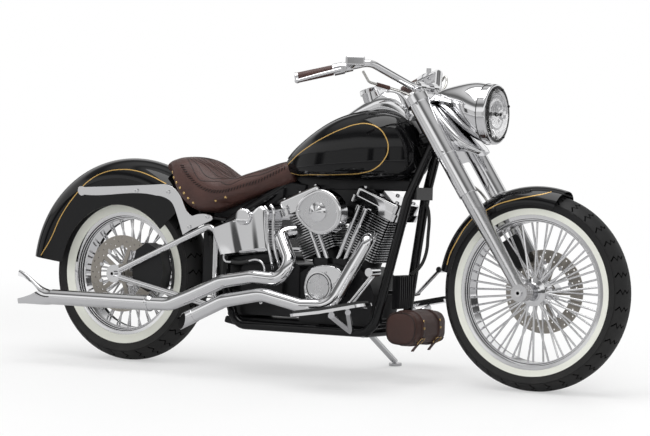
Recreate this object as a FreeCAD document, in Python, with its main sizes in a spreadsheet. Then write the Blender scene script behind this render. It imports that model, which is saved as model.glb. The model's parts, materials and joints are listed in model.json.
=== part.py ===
import FreeCAD, Part, Sketcher
import math
import os
from FreeCAD import Placement, Rotation, Vector

# Cruiser motorcycle parked on its side stand.
# Everything is drawn upright: +X ahead from the rear axle, +Y to the left, +Z up from the road.
# At the end the whole machine leans to the left and its origin moves to the middle of its base.

SIZES = {
    # Stance
    "wheelbase": 1700, "lean": 4, "rake": 33,
    # Front wheel and tyre
    "front_tyre_radius": 341, "front_tyre_half": 59, "front_crown_radius": 75, "front_flange_radius": 267,
    "front_rim_half": 46, "front_white_radius": 289, "front_hub_radius": 24,
    "front_spoke_flange": 48,
    # Rear wheel and tyre
    "rear_tyre_radius": 331, "rear_tyre_half": 74, "rear_crown_radius": 95, "rear_flange_radius": 234,
    "rear_rim_half": 60, "rear_white_radius": 267, "rear_hub_radius": 28,
    "rear_spoke_flange": 52,
    # Common to both wheels
    "rim_wall": 4, "rim_seat_drop": 6, "rim_well_drop": 20, "rim_well_half": 20, "rim_lip": 4,
    "white_wall": 1.2, "spoke_radius": 3.6, "spoke_count": 13, "spoke_foot_half": 30, "spoke_skew": 7,
    "axle_radius": 12.5, "axle_bore_radius": 6, "fit_gap": 0.3, "disc_radius": 146, "disc_inner": 100,
    "disc_width": 5, "disc_side_front": 62, "disc_side_rear": 72, "disc_arm_width": 16, "disc_boss": 36,
    "pulley_radius": 112, "pulley_side": 72, "pulley_width": 30,
    # Fork
    "fork_half": 120, "fork_offset": 60, "slider_radius": 29, "slider_foot_radius": 22, "slider_top": 393,
    "slider_taper_top": 330, "slider_taper_foot": 60, "lower_cover_radius": 33, "upper_cover_radius": 36,
    "cover_seam": 552, "fork_top": 790, "axle_lug_radius": 30, "axle_lug_half": 26,
    "upper_clamp_height": 26, "lower_clamp_height": 40, "stem_radius": 15, "head_radius": 30, "head_gap": 6,
    "fender_lug_up": 314, "fender_lug_radius": 13, "hose_radius": 4.5,
    "hose_back": -30, "hose_side": -70,
    # Front fender
    "front_fender_radius": 366, "front_fender_half": 78, "front_fender_inner": 300, "front_fender_start": 73,
    "front_fender_end": 170, "front_fender_crown": 60, "fender_wall": 3,
    # Rear fender and its struts
    "rear_fender_radius": 442, "rear_fender_half": 112, "rear_fender_inner": 262, "rear_fender_start": 42,
    "rear_fender_end": 173, "rear_fender_crown": 85, "strut_thick": 8, "guard_half": 70, "guard_crown": 20,
    "guard_start": -12,
    # Headlight
    "lamp_radius": 106, "lamp_ahead": 162, "lamp_up": 625, "lamp_length": 208, "lamp_tip_radius": 14,
    "lamp_tip_rise": 58,
    "lamp_ring_width": 34, "lens_radius": 88, "lens_crown": 8,
    # Handlebar
    "bar_radius": 13, "grip_radius": 18, "riser_radius": 17, "riser_half": 50, "riser_height": 48,
    "grip_length": 124, "mirror_hole_radius": 4.2, "bar_end_half": 394, "bar_end_back": 293, "bar_end_z": 1058, "bar_peak_half": 263,
    "bar_peak_back": 83, "bar_peak_z": 1119,
    # Frame
    "frame_tube": 17, "backbone_tube": 26, "cradle_half": 120, "cradle_bottom": 170, "post_x": 500,
    "swing_tube": 12, "swing_bar": 11, "swing_half": 124, "pivot_x": 458, "rail_lug_radius": 8,
    # Engine
    "crank_x": 945, "crank_z": 255, "cylinder_angle": 22.5, "bore_core_radius": 56, "fin_half_long": 74,
    "fin_half_wide": 78, "fin_thick": 3.5, "fin_pitch": 9.5, "fin_count": 19, "cylinder_foot": 195,
    "case_half": 88, "rocker_length": 196, "rocker_half": 92, "rocker_height": 62, "rocker_round": 16,
    "pushrod_radius": 8, "cam_chest": 52, "cam_cover_thick": 26, "cam_plate_radius": 47, "horn_radius": 52,
    "gearbox_length": 250, "gearbox_half": 92,
    "primary_front_radius": 104, "primary_rear_radius": 90, "primary_side": 110, "primary_width": 66,
    "primary_rear_x": 640, "derby_radius": 60,
    # Air cleaner
    "cleaner_x": 964, "cleaner_z": 594, "cleaner_side": 205, "cleaner_width": 52, "intake_radius": 24,
    # Exhaust
    "pipe_radius": 25, "muffler_radius": 29, "muffler_side": 232, "lower_pipe_side": 246,
    "fishtail_length": 150, "fishtail_height": 130,
    # Tanks and seat
    "oil_tank_half": 142, "tank_half": 152, "console_half": 42, "speedo_radius": 50, "seat_half": 150,
    # Foot controls
    "board_width": 96, "board_side": 330,
    # Belt
    "belt_width": 28, "belt_thick": 4, "front_pulley_radius": 48,
    # Side stand
    "stand_x": 930, "stand_side": 172, "stand_z": 165, "stand_foot_x": 985, "stand_foot_y": 318,
    "stand_tube": 11, "stand_pin_radius": 8, "stand_pad_radius": 24, "stand_pad_height": 8,
    # Tool bag
    "bag_length": 250, "bag_width": 125, "bag_height": 120, "bag_x": 1234, "bag_z": 192,
}

doc = FreeCAD.newDocument("cruiser_motorcycle")
sheet = doc.addObject("Spreadsheet::Sheet", "Sizes")
for row, (alias, value) in enumerate(SIZES.items(), start=1):
    sheet.set(f"A{row}", alias)
    sheet.set(f"B{row}", str(value))
    sheet.setAlias(f"B{row}", alias)
doc.recompute()


class Size:
    """A number together with the expression that ties it to the sheet."""

    def __init__(self, number, text):
        self.number = float(number)
        self.text = text

    def __float__(self):
        return self.number

    def _with(self, other, sign, result):
        other_text = other.text if isinstance(other, Size) else repr(float(other))
        return Size(result, f"({self.text} {sign} {other_text})")

    def __add__(self, other):
        return self._with(other, "+", self.number + float(other))

    def __sub__(self, other):
        return self._with(other, "-", self.number - float(other))

    def __mul__(self, other):
        return self._with(other, "*", self.number * float(other))

    def __truediv__(self, other):
        return self._with(other, "/", self.number / float(other))

    def __neg__(self):
        return Size(-self.number, f"(-{self.text})")

    def __radd__(self, other):
        return fixed(other) + self

    def __rsub__(self, other):
        return fixed(other) - self

    def __rmul__(self, other):
        return fixed(other) * self

    def __round__(self):
        return round(self.number)


class Names:
    """Reads any alias of the sheet as a Size: S.wheelbase."""

    def __getattr__(self, alias):
        return Size(sheet.get(alias), f"Sizes.{alias}")


S = Names()


def fixed(number):
    return number if isinstance(number, Size) else Size(number, repr(float(number)))


def sine(degrees):
    return math.sin(math.radians(float(degrees)))


def cosine(degrees):
    return math.cos(math.radians(float(degrees)))


UPRIGHT = Placement()
FRONT_AXLE = Placement(Vector(S.wheelbase, 0, S.front_tyre_radius), Rotation())
REAR_AXLE = Placement(Vector(0, 0, S.rear_tyre_radius), Rotation())
# In the fork's own frame X points ahead, square to the legs, and Z up along them from the front axle.
FORK = Placement(Vector(S.wheelbase, 0, S.front_tyre_radius), Rotation(Vector(0, 1, 0), -float(S.rake)))
# Between the rear wheel and the steering head every station keeps its share of the length.
HEAD_FOOT = FORK.multVec(Vector(-S.fork_offset, 0, S.cover_seam))
FIXED_UP_TO = 520
DRAWN_HEAD_FOOT = 1349.03


def station(x):
    """A drawn place along the machine, moved with the steering head where the wheelbase changes."""
    stretch = (HEAD_FOOT.x - FIXED_UP_TO) / (DRAWN_HEAD_FOOT - FIXED_UP_TO)
    return float(x) if float(x) < FIXED_UP_TO else FIXED_UP_TO + (float(x) - FIXED_UP_TO) * stretch


CRANK = Placement(Vector(station(S.crank_x), 0, S.crank_z), Rotation())
FRONT_CYLINDER = CRANK * Placement(Vector(), Rotation(Vector(0, 1, 0), float(S.cylinder_angle)))
REAR_CYLINDER = CRANK * Placement(Vector(), Rotation(Vector(0, 1, 0), -float(S.cylinder_angle)))

pieces = {}


def keep(label, piece, at=UPRIGHT):
    """Name a finished piece as a node of its own, drawn in the frame that at gives."""
    piece.Label = label
    pieces[label] = (piece, at)
    return piece


def keep_shape(label, shape, at=UPRIGHT):
    piece = doc.addObject("Part::Feature", label)
    piece.Shape = shape
    return keep(label, piece, at)


def in_place(label):
    """The shape of a finished piece, upright and in its place on the machine."""
    piece, at = pieces[label]
    doc.recompute()
    shape = piece.Shape.copy()
    shape.Placement = at * shape.Placement
    return shape


# Sketched pieces

def new_body(label):
    body = doc.addObject("PartDesign::Body", label)
    body.AllowCompound = True
    return body


def origin_feature(body, role):
    return next(item for item in body.Origin.OriginFeatures if item.Role == role)


def bind(sketch, constraint, size):
    index = sketch.addConstraint(constraint)
    size = fixed(size)
    if "Sizes." in size.text:
        sketch.setExpression(f"Constraints[{index}]", size.text)


def arc_centre(start, end, radius):
    """Centre of the arc from start to end: it runs anticlockwise where radius is positive."""
    middle = (start + end) * 0.5
    chord = end - start
    height = math.sqrt(max(radius * radius - chord.Length * chord.Length / 4, 0))
    square = Vector(-chord.y, chord.x, 0).normalize()
    return middle + square * (height if radius > 0 else -height)


def sketch_outline(sketch, points):
    """Closed outline; a point (x, y, r) starts an arc of radius r towards the next point."""
    spots = [Vector(float(point[0]), float(point[1]), 0) for point in points]
    first = sketch.GeometryCount
    ends = []
    for index, point in enumerate(points):
        start = spots[index]
        end = spots[(index + 1) % len(spots)]
        if len(point) == 2:
            sketch.addGeometry(Part.LineSegment(start, end), False)
            ends.append((1, 2))
            continue
        radius = float(point[2])
        centre = arc_centre(start, end, radius)
        low, high = (start, end) if radius > 0 else (end, start)
        from_angle = math.atan2(low.y - centre.y, low.x - centre.x)
        to_angle = math.atan2(high.y - centre.y, high.x - centre.x)
        circle = Part.Circle(centre, Vector(0, 0, 1), abs(radius))
        sketch.addGeometry(Part.ArcOfCircle(circle, from_angle, to_angle), False)
        ends.append((1, 2) if radius > 0 else (2, 1))
    for index, point in enumerate(points):
        following = (index + 1) % len(points)
        sketch.addConstraint(joint(first + index, ends[index][1], first + following, ends[following][0]))
        vertex = ends[index][0]
        bind(sketch, Sketcher.Constraint("DistanceX", -1, 1, first + index, vertex, float(point[0])), point[0])
        bind(sketch, Sketcher.Constraint("DistanceY", -1, 1, first + index, vertex, float(point[1])), point[1])
        if len(point) == 3:
            bind(sketch, Sketcher.Constraint("Radius", first + index, abs(float(point[2]))), fixed(point[2]) * sign(point[2]))


def sign(number):
    return 1 if float(number) > 0 else -1


def joint(*values):
    return Sketcher.Constraint("Coincident", *values)


def new_sketch(body, role, offset=0):
    sketch = body.newObject("Sketcher::SketchObject", f"{body.Name}_sketch")
    sketch.AttachmentSupport = (origin_feature(body, role), [""])
    sketch.MapMode = "FlatFace"
    sketch.AttachmentOffset = Placement(Vector(0, 0, float(offset)), Rotation())
    offset = fixed(offset)
    if "Sizes." in offset.text:
        sketch.setExpression("AttachmentOffset.Base.z", offset.text)
    return sketch


def turn(body, points, cut=False):
    """Turn an outline of (radius, along) points about the body's Y axis."""
    sketch = new_sketch(body, "XY_Plane")
    sketch_outline(sketch, points)
    kind = "PartDesign::Groove" if cut else "PartDesign::Revolution"
    turned = body.newObject(kind, f"{body.Name}_turned")
    turned.Profile = sketch
    turned.ReferenceAxis = (sketch, ["V_Axis"])
    turned.Angle = 360
    return turned


def pad(body, role, points, length, offset=0, midplane=False):
    sketch = new_sketch(body, role, offset)
    sketch_outline(sketch, points)
    padded = body.newObject("PartDesign::Pad", f"{body.Name}_pad")
    padded.Profile = sketch
    padded.Length = float(length)
    padded.Midplane = midplane
    length = fixed(length)
    if "Sizes." in length.text:
        padded.setExpression("Length", length.text)
    return padded


def pad_circle(body, role, centre, radius, length, offset=0, midplane=False, cut=False):
    sketch = new_sketch(body, role, offset)
    sketch.addGeometry(Part.Circle(Vector(float(centre[0]), float(centre[1]), 0), Vector(0, 0, 1), float(radius)))
    bind(sketch, Sketcher.Constraint("DistanceX", -1, 1, 0, 3, float(centre[0])), centre[0])
    bind(sketch, Sketcher.Constraint("DistanceY", -1, 1, 0, 3, float(centre[1])), centre[1])
    bind(sketch, Sketcher.Constraint("Radius", 0, float(radius)), radius)
    kind = "PartDesign::Pocket" if cut else "PartDesign::Pad"
    padded = body.newObject(kind, f"{body.Name}_round")
    padded.Profile = sketch
    padded.Length = float(length)
    padded.Midplane = midplane
    length = fixed(length)
    if "Sizes." in length.text:
        padded.setExpression("Length", length.text)
    return padded


def ring_pattern(body, feature, count, axis="Y_Axis"):
    pattern = body.newObject("PartDesign::PolarPattern", f"{body.Name}_ring")
    pattern.Originals = [feature]
    pattern.Axis = (origin_feature(body, axis), [""])
    pattern.Angle = 360
    pattern.Occurrences = round(count)
    if isinstance(count, Size):
        pattern.setExpression("Occurrences", count.text)
    body.Tip = pattern
    return pattern


def round_edges(body, radius, wanted):
    """Round the edges of the body's last feature that wanted picks."""
    doc.recompute()
    base = body.Tip
    names = [f"Edge{index}" for index, edge in enumerate(base.Shape.Edges, start=1) if wanted(edge)]
    fillet = body.newObject("PartDesign::Fillet", f"{body.Name}_fillet")
    fillet.Base = (base, names)
    fillet.Radius = float(radius)
    radius = fixed(radius)
    if "Sizes." in radius.text:
        fillet.setExpression("Radius", radius.text)
    body.Tip = fillet
    return fillet


# Shapes made from routes and sections

def point(place):
    """A place on the machine: numbers are drawn stations, a vector is taken as it is."""
    if isinstance(place, Vector):
        return Vector(place)
    return Vector(station(place[0]), float(place[1]), float(place[2]))


def rod(start, end, radius, end_radius=None):
    start = point(start)
    along = point(end) - start
    if end_radius is None:
        return Part.makeCylinder(float(radius), along.Length, start, along)
    return Part.makeCone(float(radius), float(end_radius), along.Length, start, along)


def route(places, bends):
    """Straight runs joined by tangent arcs; bends holds one radius or one per inner point."""
    spots = [point(place) for place in places]
    if not isinstance(bends, (list, tuple)):
        bends = [bends] * (len(spots) - 2)
    edges = []
    here = spots[0]
    for index in range(1, len(spots) - 1):
        corner = spots[index]
        back = (spots[index - 1] - corner).normalize()
        ahead = (spots[index + 1] - corner).normalize()
        turn_angle = math.pi - back.getAngle(ahead)
        radius = float(bends[index - 1])
        setback = radius * math.tan(turn_angle / 2)
        start = corner + back * setback
        end = corner + ahead * setback
        bisector = (back + ahead).normalize()
        middle = corner + bisector * (radius / math.cos(turn_angle / 2) - radius)
        edges.append(Part.LineSegment(here, start).toShape())
        edges.append(Part.Arc(start, middle, end).toShape())
        here = end
    edges.append(Part.LineSegment(here, spots[-1]).toShape())
    return Part.Wire(edges)


def pipe(places, radius, bends):
    path = route(places, bends)
    edge = path.OrderedEdges[0]
    start = edge.valueAt(edge.FirstParameter)
    along = edge.tangentAt(edge.FirstParameter)
    ring = Part.Wire([Part.makeCircle(float(radius), start, along)])
    return path.makePipeShell([ring], True, False)


def slab(places, low, high):
    """Straight-sided plate: an outline of (x, z) points from y = low to y = high."""
    spots = [Vector(station(x), float(low), float(z)) for x, z in places]
    face = Part.Face(Part.makePolygon(spots + [spots[0]]))
    return face.extrude(Vector(0, float(high) - float(low), 0))


def plate(runs, low, high):
    """Plate with a drawn edge: a run of two points is straight, a longer one is a smooth curve."""
    edges = []
    for run in runs:
        spots = [Vector(station(x), float(low), float(z)) for x, z in run]
        if len(spots) == 2:
            edges.append(Part.makeLine(spots[0], spots[1]))
            continue
        curve = Part.BSplineCurve()
        curve.interpolate(spots)
        edges.append(curve.toShape())
    return Part.Face(Part.Wire(edges)).extrude(Vector(0, float(high) - float(low), 0))


def lobe(places, low, high):
    """Plate with one smooth closed edge through the (x, z) points."""
    curve = Part.BSplineCurve()
    curve.interpolate([Vector(station(x), float(low), float(z)) for x, z in places], True)
    return Part.Face(Part.Wire([curve.toShape()])).extrude(Vector(0, float(high) - float(low), 0))


def block(low, high):
    """Box between two opposite corners."""
    low, high = point(low), point(high)
    return Part.makeBox(high.x - low.x, high.y - low.y, high.z - low.z, low)


def on_fork(ahead, side, up):
    """A place in the fork's frame as an upright one."""
    return FORK.multVec(Vector(float(ahead), float(side), float(up)))


def outer_edges(y):
    """Picks the edges that lie on the plane at y."""
    return lambda edge: all(abs(spot.Y - float(y)) < 0.01 for spot in edge.Vertexes)


def softened(shape, radius, wanted):
    return shape.makeFillet(float(radius), [edge for edge in shape.Edges if wanted(edge)])


def across(edge):
    """Edges that run along Y."""
    ends = edge.Vertexes
    if len(ends) < 2:
        return False
    along = ends[1].Point - ends[0].Point
    return along.Length > 0 and abs(along.y) > 0.99 * along.Length


def section(x, half, low, high, widest, power, low_power=None):
    """Rounded closed section across the machine at x: half wide, widest at that height."""
    spots = []
    steps = 24
    for index in range(steps):
        angle = 2 * math.pi * index / steps
        share = power if low_power is None or math.sin(angle) > 0 else low_power
        side = math.copysign(abs(math.cos(angle)) ** share, math.cos(angle))
        rise = math.copysign(abs(math.sin(angle)) ** share, math.sin(angle))
        reach = float(high) - float(widest) if rise > 0 else float(widest) - float(low)
        spots.append(Vector(station(x), float(half) * side, float(widest) + reach * rise))
    curve = Part.BSplineCurve()
    curve.interpolate(spots, True)
    return Part.Wire([curve.toShape()])


def loft(sections):
    return Part.makeLoft(sections, True, False)


def largest(shape):
    return max(shape.Solids, key=lambda solid: solid.Volume)


def both_sides(shape):
    return Part.makeCompound([shape, shape.mirror(Vector(), Vector(0, 1, 0))])


def joined(shapes):
    whole = shapes[0].fuse(shapes[1:]) if len(shapes) > 1 else shapes[0]
    return whole.removeSplitter()


# Wheels: each is turned about its own axle

def tyre(label, radius, half, crown, flange, rim_half, white_radius, at):
    body = new_body(label)
    seat = flange - S.rim_seat_drop
    bead = flange + S.fit_gap
    inner = rim_half - S.rim_lip - S.fit_gap
    drop = crown - math.sqrt(float(crown) ** 2 - float(half) ** 2)
    shoulder = radius - drop
    white_side = rim_half + (half - rim_half) * 0.45
    turn(body, [
        (seat, -inner), (bead, -inner), (bead, -rim_half), (white_radius, -white_side), (shoulder, -half, crown),
        (shoulder, half), (white_radius, white_side), (bead, rim_half), (bead, inner), (seat, inner)])
    keep(label, body, at)
    return white_side


def whitewalls(label, flange, rim_half, white_radius, white_side, at):
    body = new_body(label)
    bead = flange + S.fit_gap
    turn(body, [(bead, rim_half), (white_radius, white_side), (white_radius, white_side + S.white_wall),
                (bead, rim_half + S.white_wall)])
    turn(body, [(bead, -rim_half), (white_radius, -white_side), (white_radius, -white_side - S.white_wall),
                (bead, -rim_half - S.white_wall)])
    keep(label, body, at)


def rim(label, flange, half, at):
    body = new_body(label)
    seat = flange - S.rim_seat_drop
    well = flange - S.rim_well_drop
    lip = half - S.rim_lip
    under = S.rim_well_half + S.rim_wall
    turn(body, [
        (flange, -half), (flange, -lip), (seat, -lip), (seat, -S.rim_well_half - 8), (well, -S.rim_well_half),
        (well, S.rim_well_half), (seat, S.rim_well_half + 8), (seat, lip), (flange, lip), (flange, half),
        (seat - S.rim_wall, half), (seat - S.rim_wall, under + 8), (well - S.rim_wall, under),
        (well - S.rim_wall, -under), (seat - S.rim_wall, -under - 8), (seat - S.rim_wall, -half)])
    keep(label, body, at)


def hub(label, radius, half, spoke_flange, rim_inner):
    """Hub with its spokes: two rows, each spoke leaning a little around the wheel."""
    body = new_body(label)
    bore = S.axle_radius + S.fit_gap
    foot = S.spoke_foot_half
    turn(body, [
        (bore, -half), (radius + 10, -half), (radius + 10, -foot - 10), (spoke_flange, -foot - 4),
        (spoke_flange, -foot + 4), (radius, -foot + 12), (radius, foot - 12), (spoke_flange, foot - 4),
        (spoke_flange, foot + 4), (radius + 10, foot + 10), (radius + 10, half), (bore, half)])
    rows = []
    for side in (-1, 1):
        for lean in (-1, 1):
            angle = (180 / float(S.spoke_count)) * (0.5 * lean + (0.5 if side > 0 else 0))
            skew = float(S.spoke_skew) * lean
            start = Vector(float(spoke_flange - 6) * cosine(angle - skew), side * float(foot),
                           float(spoke_flange - 6) * sine(angle - skew))
            end = Vector(float(rim_inner) * cosine(angle), side * float(S.rim_well_half) * 0.5,
                         float(rim_inner) * sine(angle))
            rows.append((start, end))
    spokes = []
    for start, end in rows:
        one = rod(start, end, S.spoke_radius)
        for index in range(round(S.spoke_count)):
            turned = one.copy()
            turned.rotate(Vector(), Vector(0, 1, 0), index * 360 / float(S.spoke_count))
            spokes.append(turned)
    return body, spokes


def finish_hub(label, body, spokes, at):
    doc.recompute()
    whole = joined([body.Shape] + spokes)
    doc.removeObject(body.Name)
    keep_shape(label, whole, at)


def disc(label, side, at):
    """Brake disc ring on a carrier with five arms."""
    body = new_body(label)
    near = side
    far = side + S.disc_width
    turn(body, [(S.disc_inner, near), (S.disc_radius, near), (S.disc_radius, far), (S.disc_inner, far)])
    turn(body, [(S.axle_radius + S.fit_gap + 2, near), (S.disc_boss, near), (S.disc_boss, far),
                (S.axle_radius + S.fit_gap + 2, far)])
    arm = pad(body, "XY_Plane", [(S.disc_boss - 4, near), (S.disc_inner + 4, near), (S.disc_inner + 4, far),
                                 (S.disc_boss - 4, far)], S.disc_arm_width, midplane=True)
    ring_pattern(body, arm, 5)
    keep(label, body, at)


def front_wheel():
    white_side = tyre("front_tyre", S.front_tyre_radius, S.front_tyre_half, S.front_crown_radius,
                      S.front_flange_radius, S.front_rim_half, S.front_white_radius, FRONT_AXLE)
    whitewalls("front_whitewalls", S.front_flange_radius, S.front_rim_half, S.front_white_radius, white_side,
               FRONT_AXLE)
    rim("front_rim", S.front_flange_radius, S.front_rim_half, FRONT_AXLE)
    inner = S.front_flange_radius - S.rim_well_drop - S.rim_wall - S.fit_gap * 2.5
    body, spokes = hub("front_hub", S.front_hub_radius, S.disc_side_front, S.front_spoke_flange, inner)
    finish_hub("front_hub", body, spokes, FRONT_AXLE)
    disc("front_disc", S.disc_side_front, FRONT_AXLE)


def rear_wheel():
    white_side = tyre("rear_tyre", S.rear_tyre_radius, S.rear_tyre_half, S.rear_crown_radius,
                      S.rear_flange_radius, S.rear_rim_half, S.rear_white_radius, REAR_AXLE)
    whitewalls("rear_whitewalls", S.rear_flange_radius, S.rear_rim_half, S.rear_white_radius, white_side, REAR_AXLE)
    rim("rear_rim", S.rear_flange_radius, S.rear_rim_half, REAR_AXLE)
    inner = S.rear_flange_radius - S.rim_well_drop - S.rim_wall - S.fit_gap * 2.5
    body, spokes = hub("rear_hub", S.rear_hub_radius, S.disc_side_rear, S.rear_spoke_flange, inner)
    bore = S.axle_radius + S.fit_gap
    far = S.pulley_side + S.pulley_width
    turn(body, [(bore, S.pulley_side), (S.pulley_radius, S.pulley_side), (S.pulley_radius, far),
                (S.pulley_radius - 14, far), (S.pulley_radius - 20, S.pulley_side + 8),
                (S.disc_boss, S.pulley_side + 8), (S.disc_boss, far - 6), (bore, far - 6)])
    finish_hub("rear_hub", body, spokes, REAR_AXLE)
    disc("rear_disc", -S.disc_side_rear - S.disc_width, REAR_AXLE)


# Steering: drawn in the fork's frame

def fork():
    fender_shape = in_place("front_fender")
    sliders = []
    covers = []
    for side in (-1, 1):
        y = float(S.fork_half) * side
        leg_foot, leg_top = on_fork(0, y, 0), on_fork(0, y, S.slider_taper_top)
        taper_foot = on_fork(0, y, S.slider_taper_foot)
        lug = float(S.axle_lug_half)
        slider = joined([
            rod(leg_top, on_fork(0, y, S.slider_top), S.slider_radius),
            rod(taper_foot, leg_top, S.slider_foot_radius, S.slider_radius),
            rod(leg_foot, taper_foot, S.slider_foot_radius),
            rod(on_fork(0, y - lug, 0), on_fork(0, y + lug, 0), S.axle_lug_radius),
            rod(on_fork(0, y, S.fender_lug_up), on_fork(0, y * 0.55, S.fender_lug_up), S.fender_lug_radius)])
        slider = largest(slider.cut([rod(on_fork(0, y - 60, 0), on_fork(0, y + 60, 0), S.axle_radius), fender_shape]))
        sliders.append(slider)
        covers.append(joined([
            rod(on_fork(0, y, S.slider_top), on_fork(0, y, S.cover_seam), S.lower_cover_radius),
            rod(on_fork(0, y, S.cover_seam), on_fork(0, y, S.fork_top - S.upper_clamp_height),
                S.upper_cover_radius)]))
    keep_shape("fork_sliders", Part.makeCompound(sliders))
    keep_shape("fork_covers", Part.makeCompound(covers))


def clamp_plate(height, thick):
    """Flat plate that narrows from the legs to the stem behind them."""
    half = float(S.fork_half)
    back = -float(S.fork_offset)
    near = float(S.stem_radius) + 5
    spots = [(30, -half), (30, half), (-24, half), (back - near * 0.5, near), (back - near * 0.5, -near), (-24, -half)]
    corners = [Vector(a, y, float(height)) for a, y in spots]
    face = Part.Face(Part.makePolygon(corners + [corners[0]]))
    return face.extrude(Vector(0, 0, float(thick)))


def clamps():
    """Upper and lower triple clamps and the stem between them."""
    reach = S.upper_cover_radius + 8
    top_low = S.fork_top - S.upper_clamp_height
    low_low = S.cover_seam + S.fit_gap
    low_high = low_low + S.lower_clamp_height
    shapes = [clamp_plate(top_low, S.upper_clamp_height)]
    for y in (-S.fork_half, S.fork_half):
        shapes.append(rod(Vector(0, y, top_low), Vector(0, y, S.fork_top), reach))
        shapes.append(rod(Vector(0, y, S.fork_top), Vector(0, y, S.fork_top + 10), S.slider_radius))
    low = clamp_plate(low_low, S.lower_clamp_height)
    for y in (-S.fork_half, S.fork_half):
        low = low.cut(rod(Vector(0, y, low_low - 5), Vector(0, y, low_high + 5), S.upper_cover_radius + S.fit_gap))
    shapes.append(low)
    stem = -S.fork_offset
    for foot, top, radius in ((low_low, S.fork_top + 14, S.stem_radius), (top_low, S.fork_top, S.stem_radius + 5),
                              (low_low, low_high, S.stem_radius + 5)):
        shapes.append(rod(Vector(stem, 0, foot), Vector(stem, 0, top), radius))
    hose_way = rod(Vector(S.hose_back, S.hose_side, low_low - 5), Vector(S.hose_back, S.hose_side, S.fork_top + 5), 8)
    keep_shape("triple_clamps", joined(shapes).cut(hose_way), FORK)


def headlight():
    """Bullet lamp facing ahead; its tail rises to the top clamp, and a chrome cowl carries it."""
    centre = on_fork(S.lamp_ahead, 0, S.lamp_up)
    radius = float(S.lamp_radius)

    def ring(share, size):
        spot = centre - Vector(float(S.lamp_length) * share, 0, -float(S.lamp_tip_rise) * share)
        return Part.Wire([Part.makeCircle(size, spot, Vector(1, 0, 0))])

    tail = loft([ring(0, radius - 3), ring(0.25, radius * 0.91), ring(0.5, radius * 0.71),
                 ring(0.75, radius * 0.46), ring(1, S.lamp_tip_radius)])
    front = centre + Vector(float(S.lamp_ring_width), 0, 0)
    trim = rod(centre, front, S.lamp_radius)
    trim = softened(trim, 8, lambda edge: abs(edge.Vertexes[0].X - front.x) < 0.01 and len(edge.Vertexes) == 1)
    recess = rod(front - Vector(10, 0, 0), front + Vector(5, 0, 0), S.lens_radius)
    keep_shape("headlight_shell", largest(joined([tail, trim]).cut(recess).cut(in_place("triple_clamps"))))
    lens = new_body("headlight_lens")
    rim_radius = S.lens_radius - S.fit_gap
    crown = (rim_radius * rim_radius + S.lens_crown * S.lens_crown) / (S.lens_crown * 2)
    turn(lens, [(0, -10), (rim_radius, -10), (rim_radius, -2, crown), (0, S.lens_crown - 2)])
    keep("headlight_lens", lens, Placement(front, Rotation(Vector(0, 0, 1), -90)))


def cowl():
    """Chrome panel that fills the space between the legs, under and behind the lamp."""
    rows = [(516, 62, 89, 34), (545, 40, 82, 62), (590, 10, 68, 78), (640, -5, 54, 80), (700, -10, 38, 76),
            (763, -12, 16, 60)]
    rings = []
    for up, back, ahead, half in rows:
        spots = []
        for index in range(20):
            angle = 2 * math.pi * index / 20
            side = math.copysign(abs(math.sin(angle)) ** 0.7, math.sin(angle))
            reach = math.copysign(abs(math.cos(angle)) ** 0.7, math.cos(angle))
            spots.append(on_fork((back + ahead) / 2 + (ahead - back) / 2 * reach, half * side, up))
        curve = Part.BSplineCurve()
        curve.interpolate(spots, True)
        rings.append(Part.Wire([curve.toShape()]))
    shape = loft(rings)
    for label in ("triple_clamps", "headlight_shell", "fork_covers"):
        shape = shape.cut(in_place(label))
    keep_shape("headlight_cowl", largest(shape))


def handlebar():
    """Bar on two risers from the top clamp, drawn through the bar's real bends."""
    foot = on_fork(0, 0, S.fork_top)
    top = on_fork(0, 0, S.fork_top + S.riser_height)
    half = [Vector(top.x, float(S.riser_half) + 46, top.z),
            Vector(top.x - float(S.bar_peak_back), float(S.bar_peak_half), float(S.bar_peak_z)),
            Vector(top.x - float(S.bar_end_back), float(S.bar_end_half), float(S.bar_end_z))]
    places = [Vector(spot.x, -spot.y, spot.z) for spot in reversed(half)] + half
    shapes = [pipe(places, S.bar_radius, [60, 60, 60, 60])]
    for side in (-1, 1):
        y = float(S.riser_half) * side
        shapes.append(rod(Vector(foot.x, y, foot.z), Vector(top.x, y, top.z), S.riser_radius))
        shapes.append(rod(Vector(top.x, y - 18, top.z), Vector(top.x, y + 18, top.z), S.bar_radius + 8))
    keep_shape("handlebar", joined(shapes))
    return places


MIRROR_HOLES = {}


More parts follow.
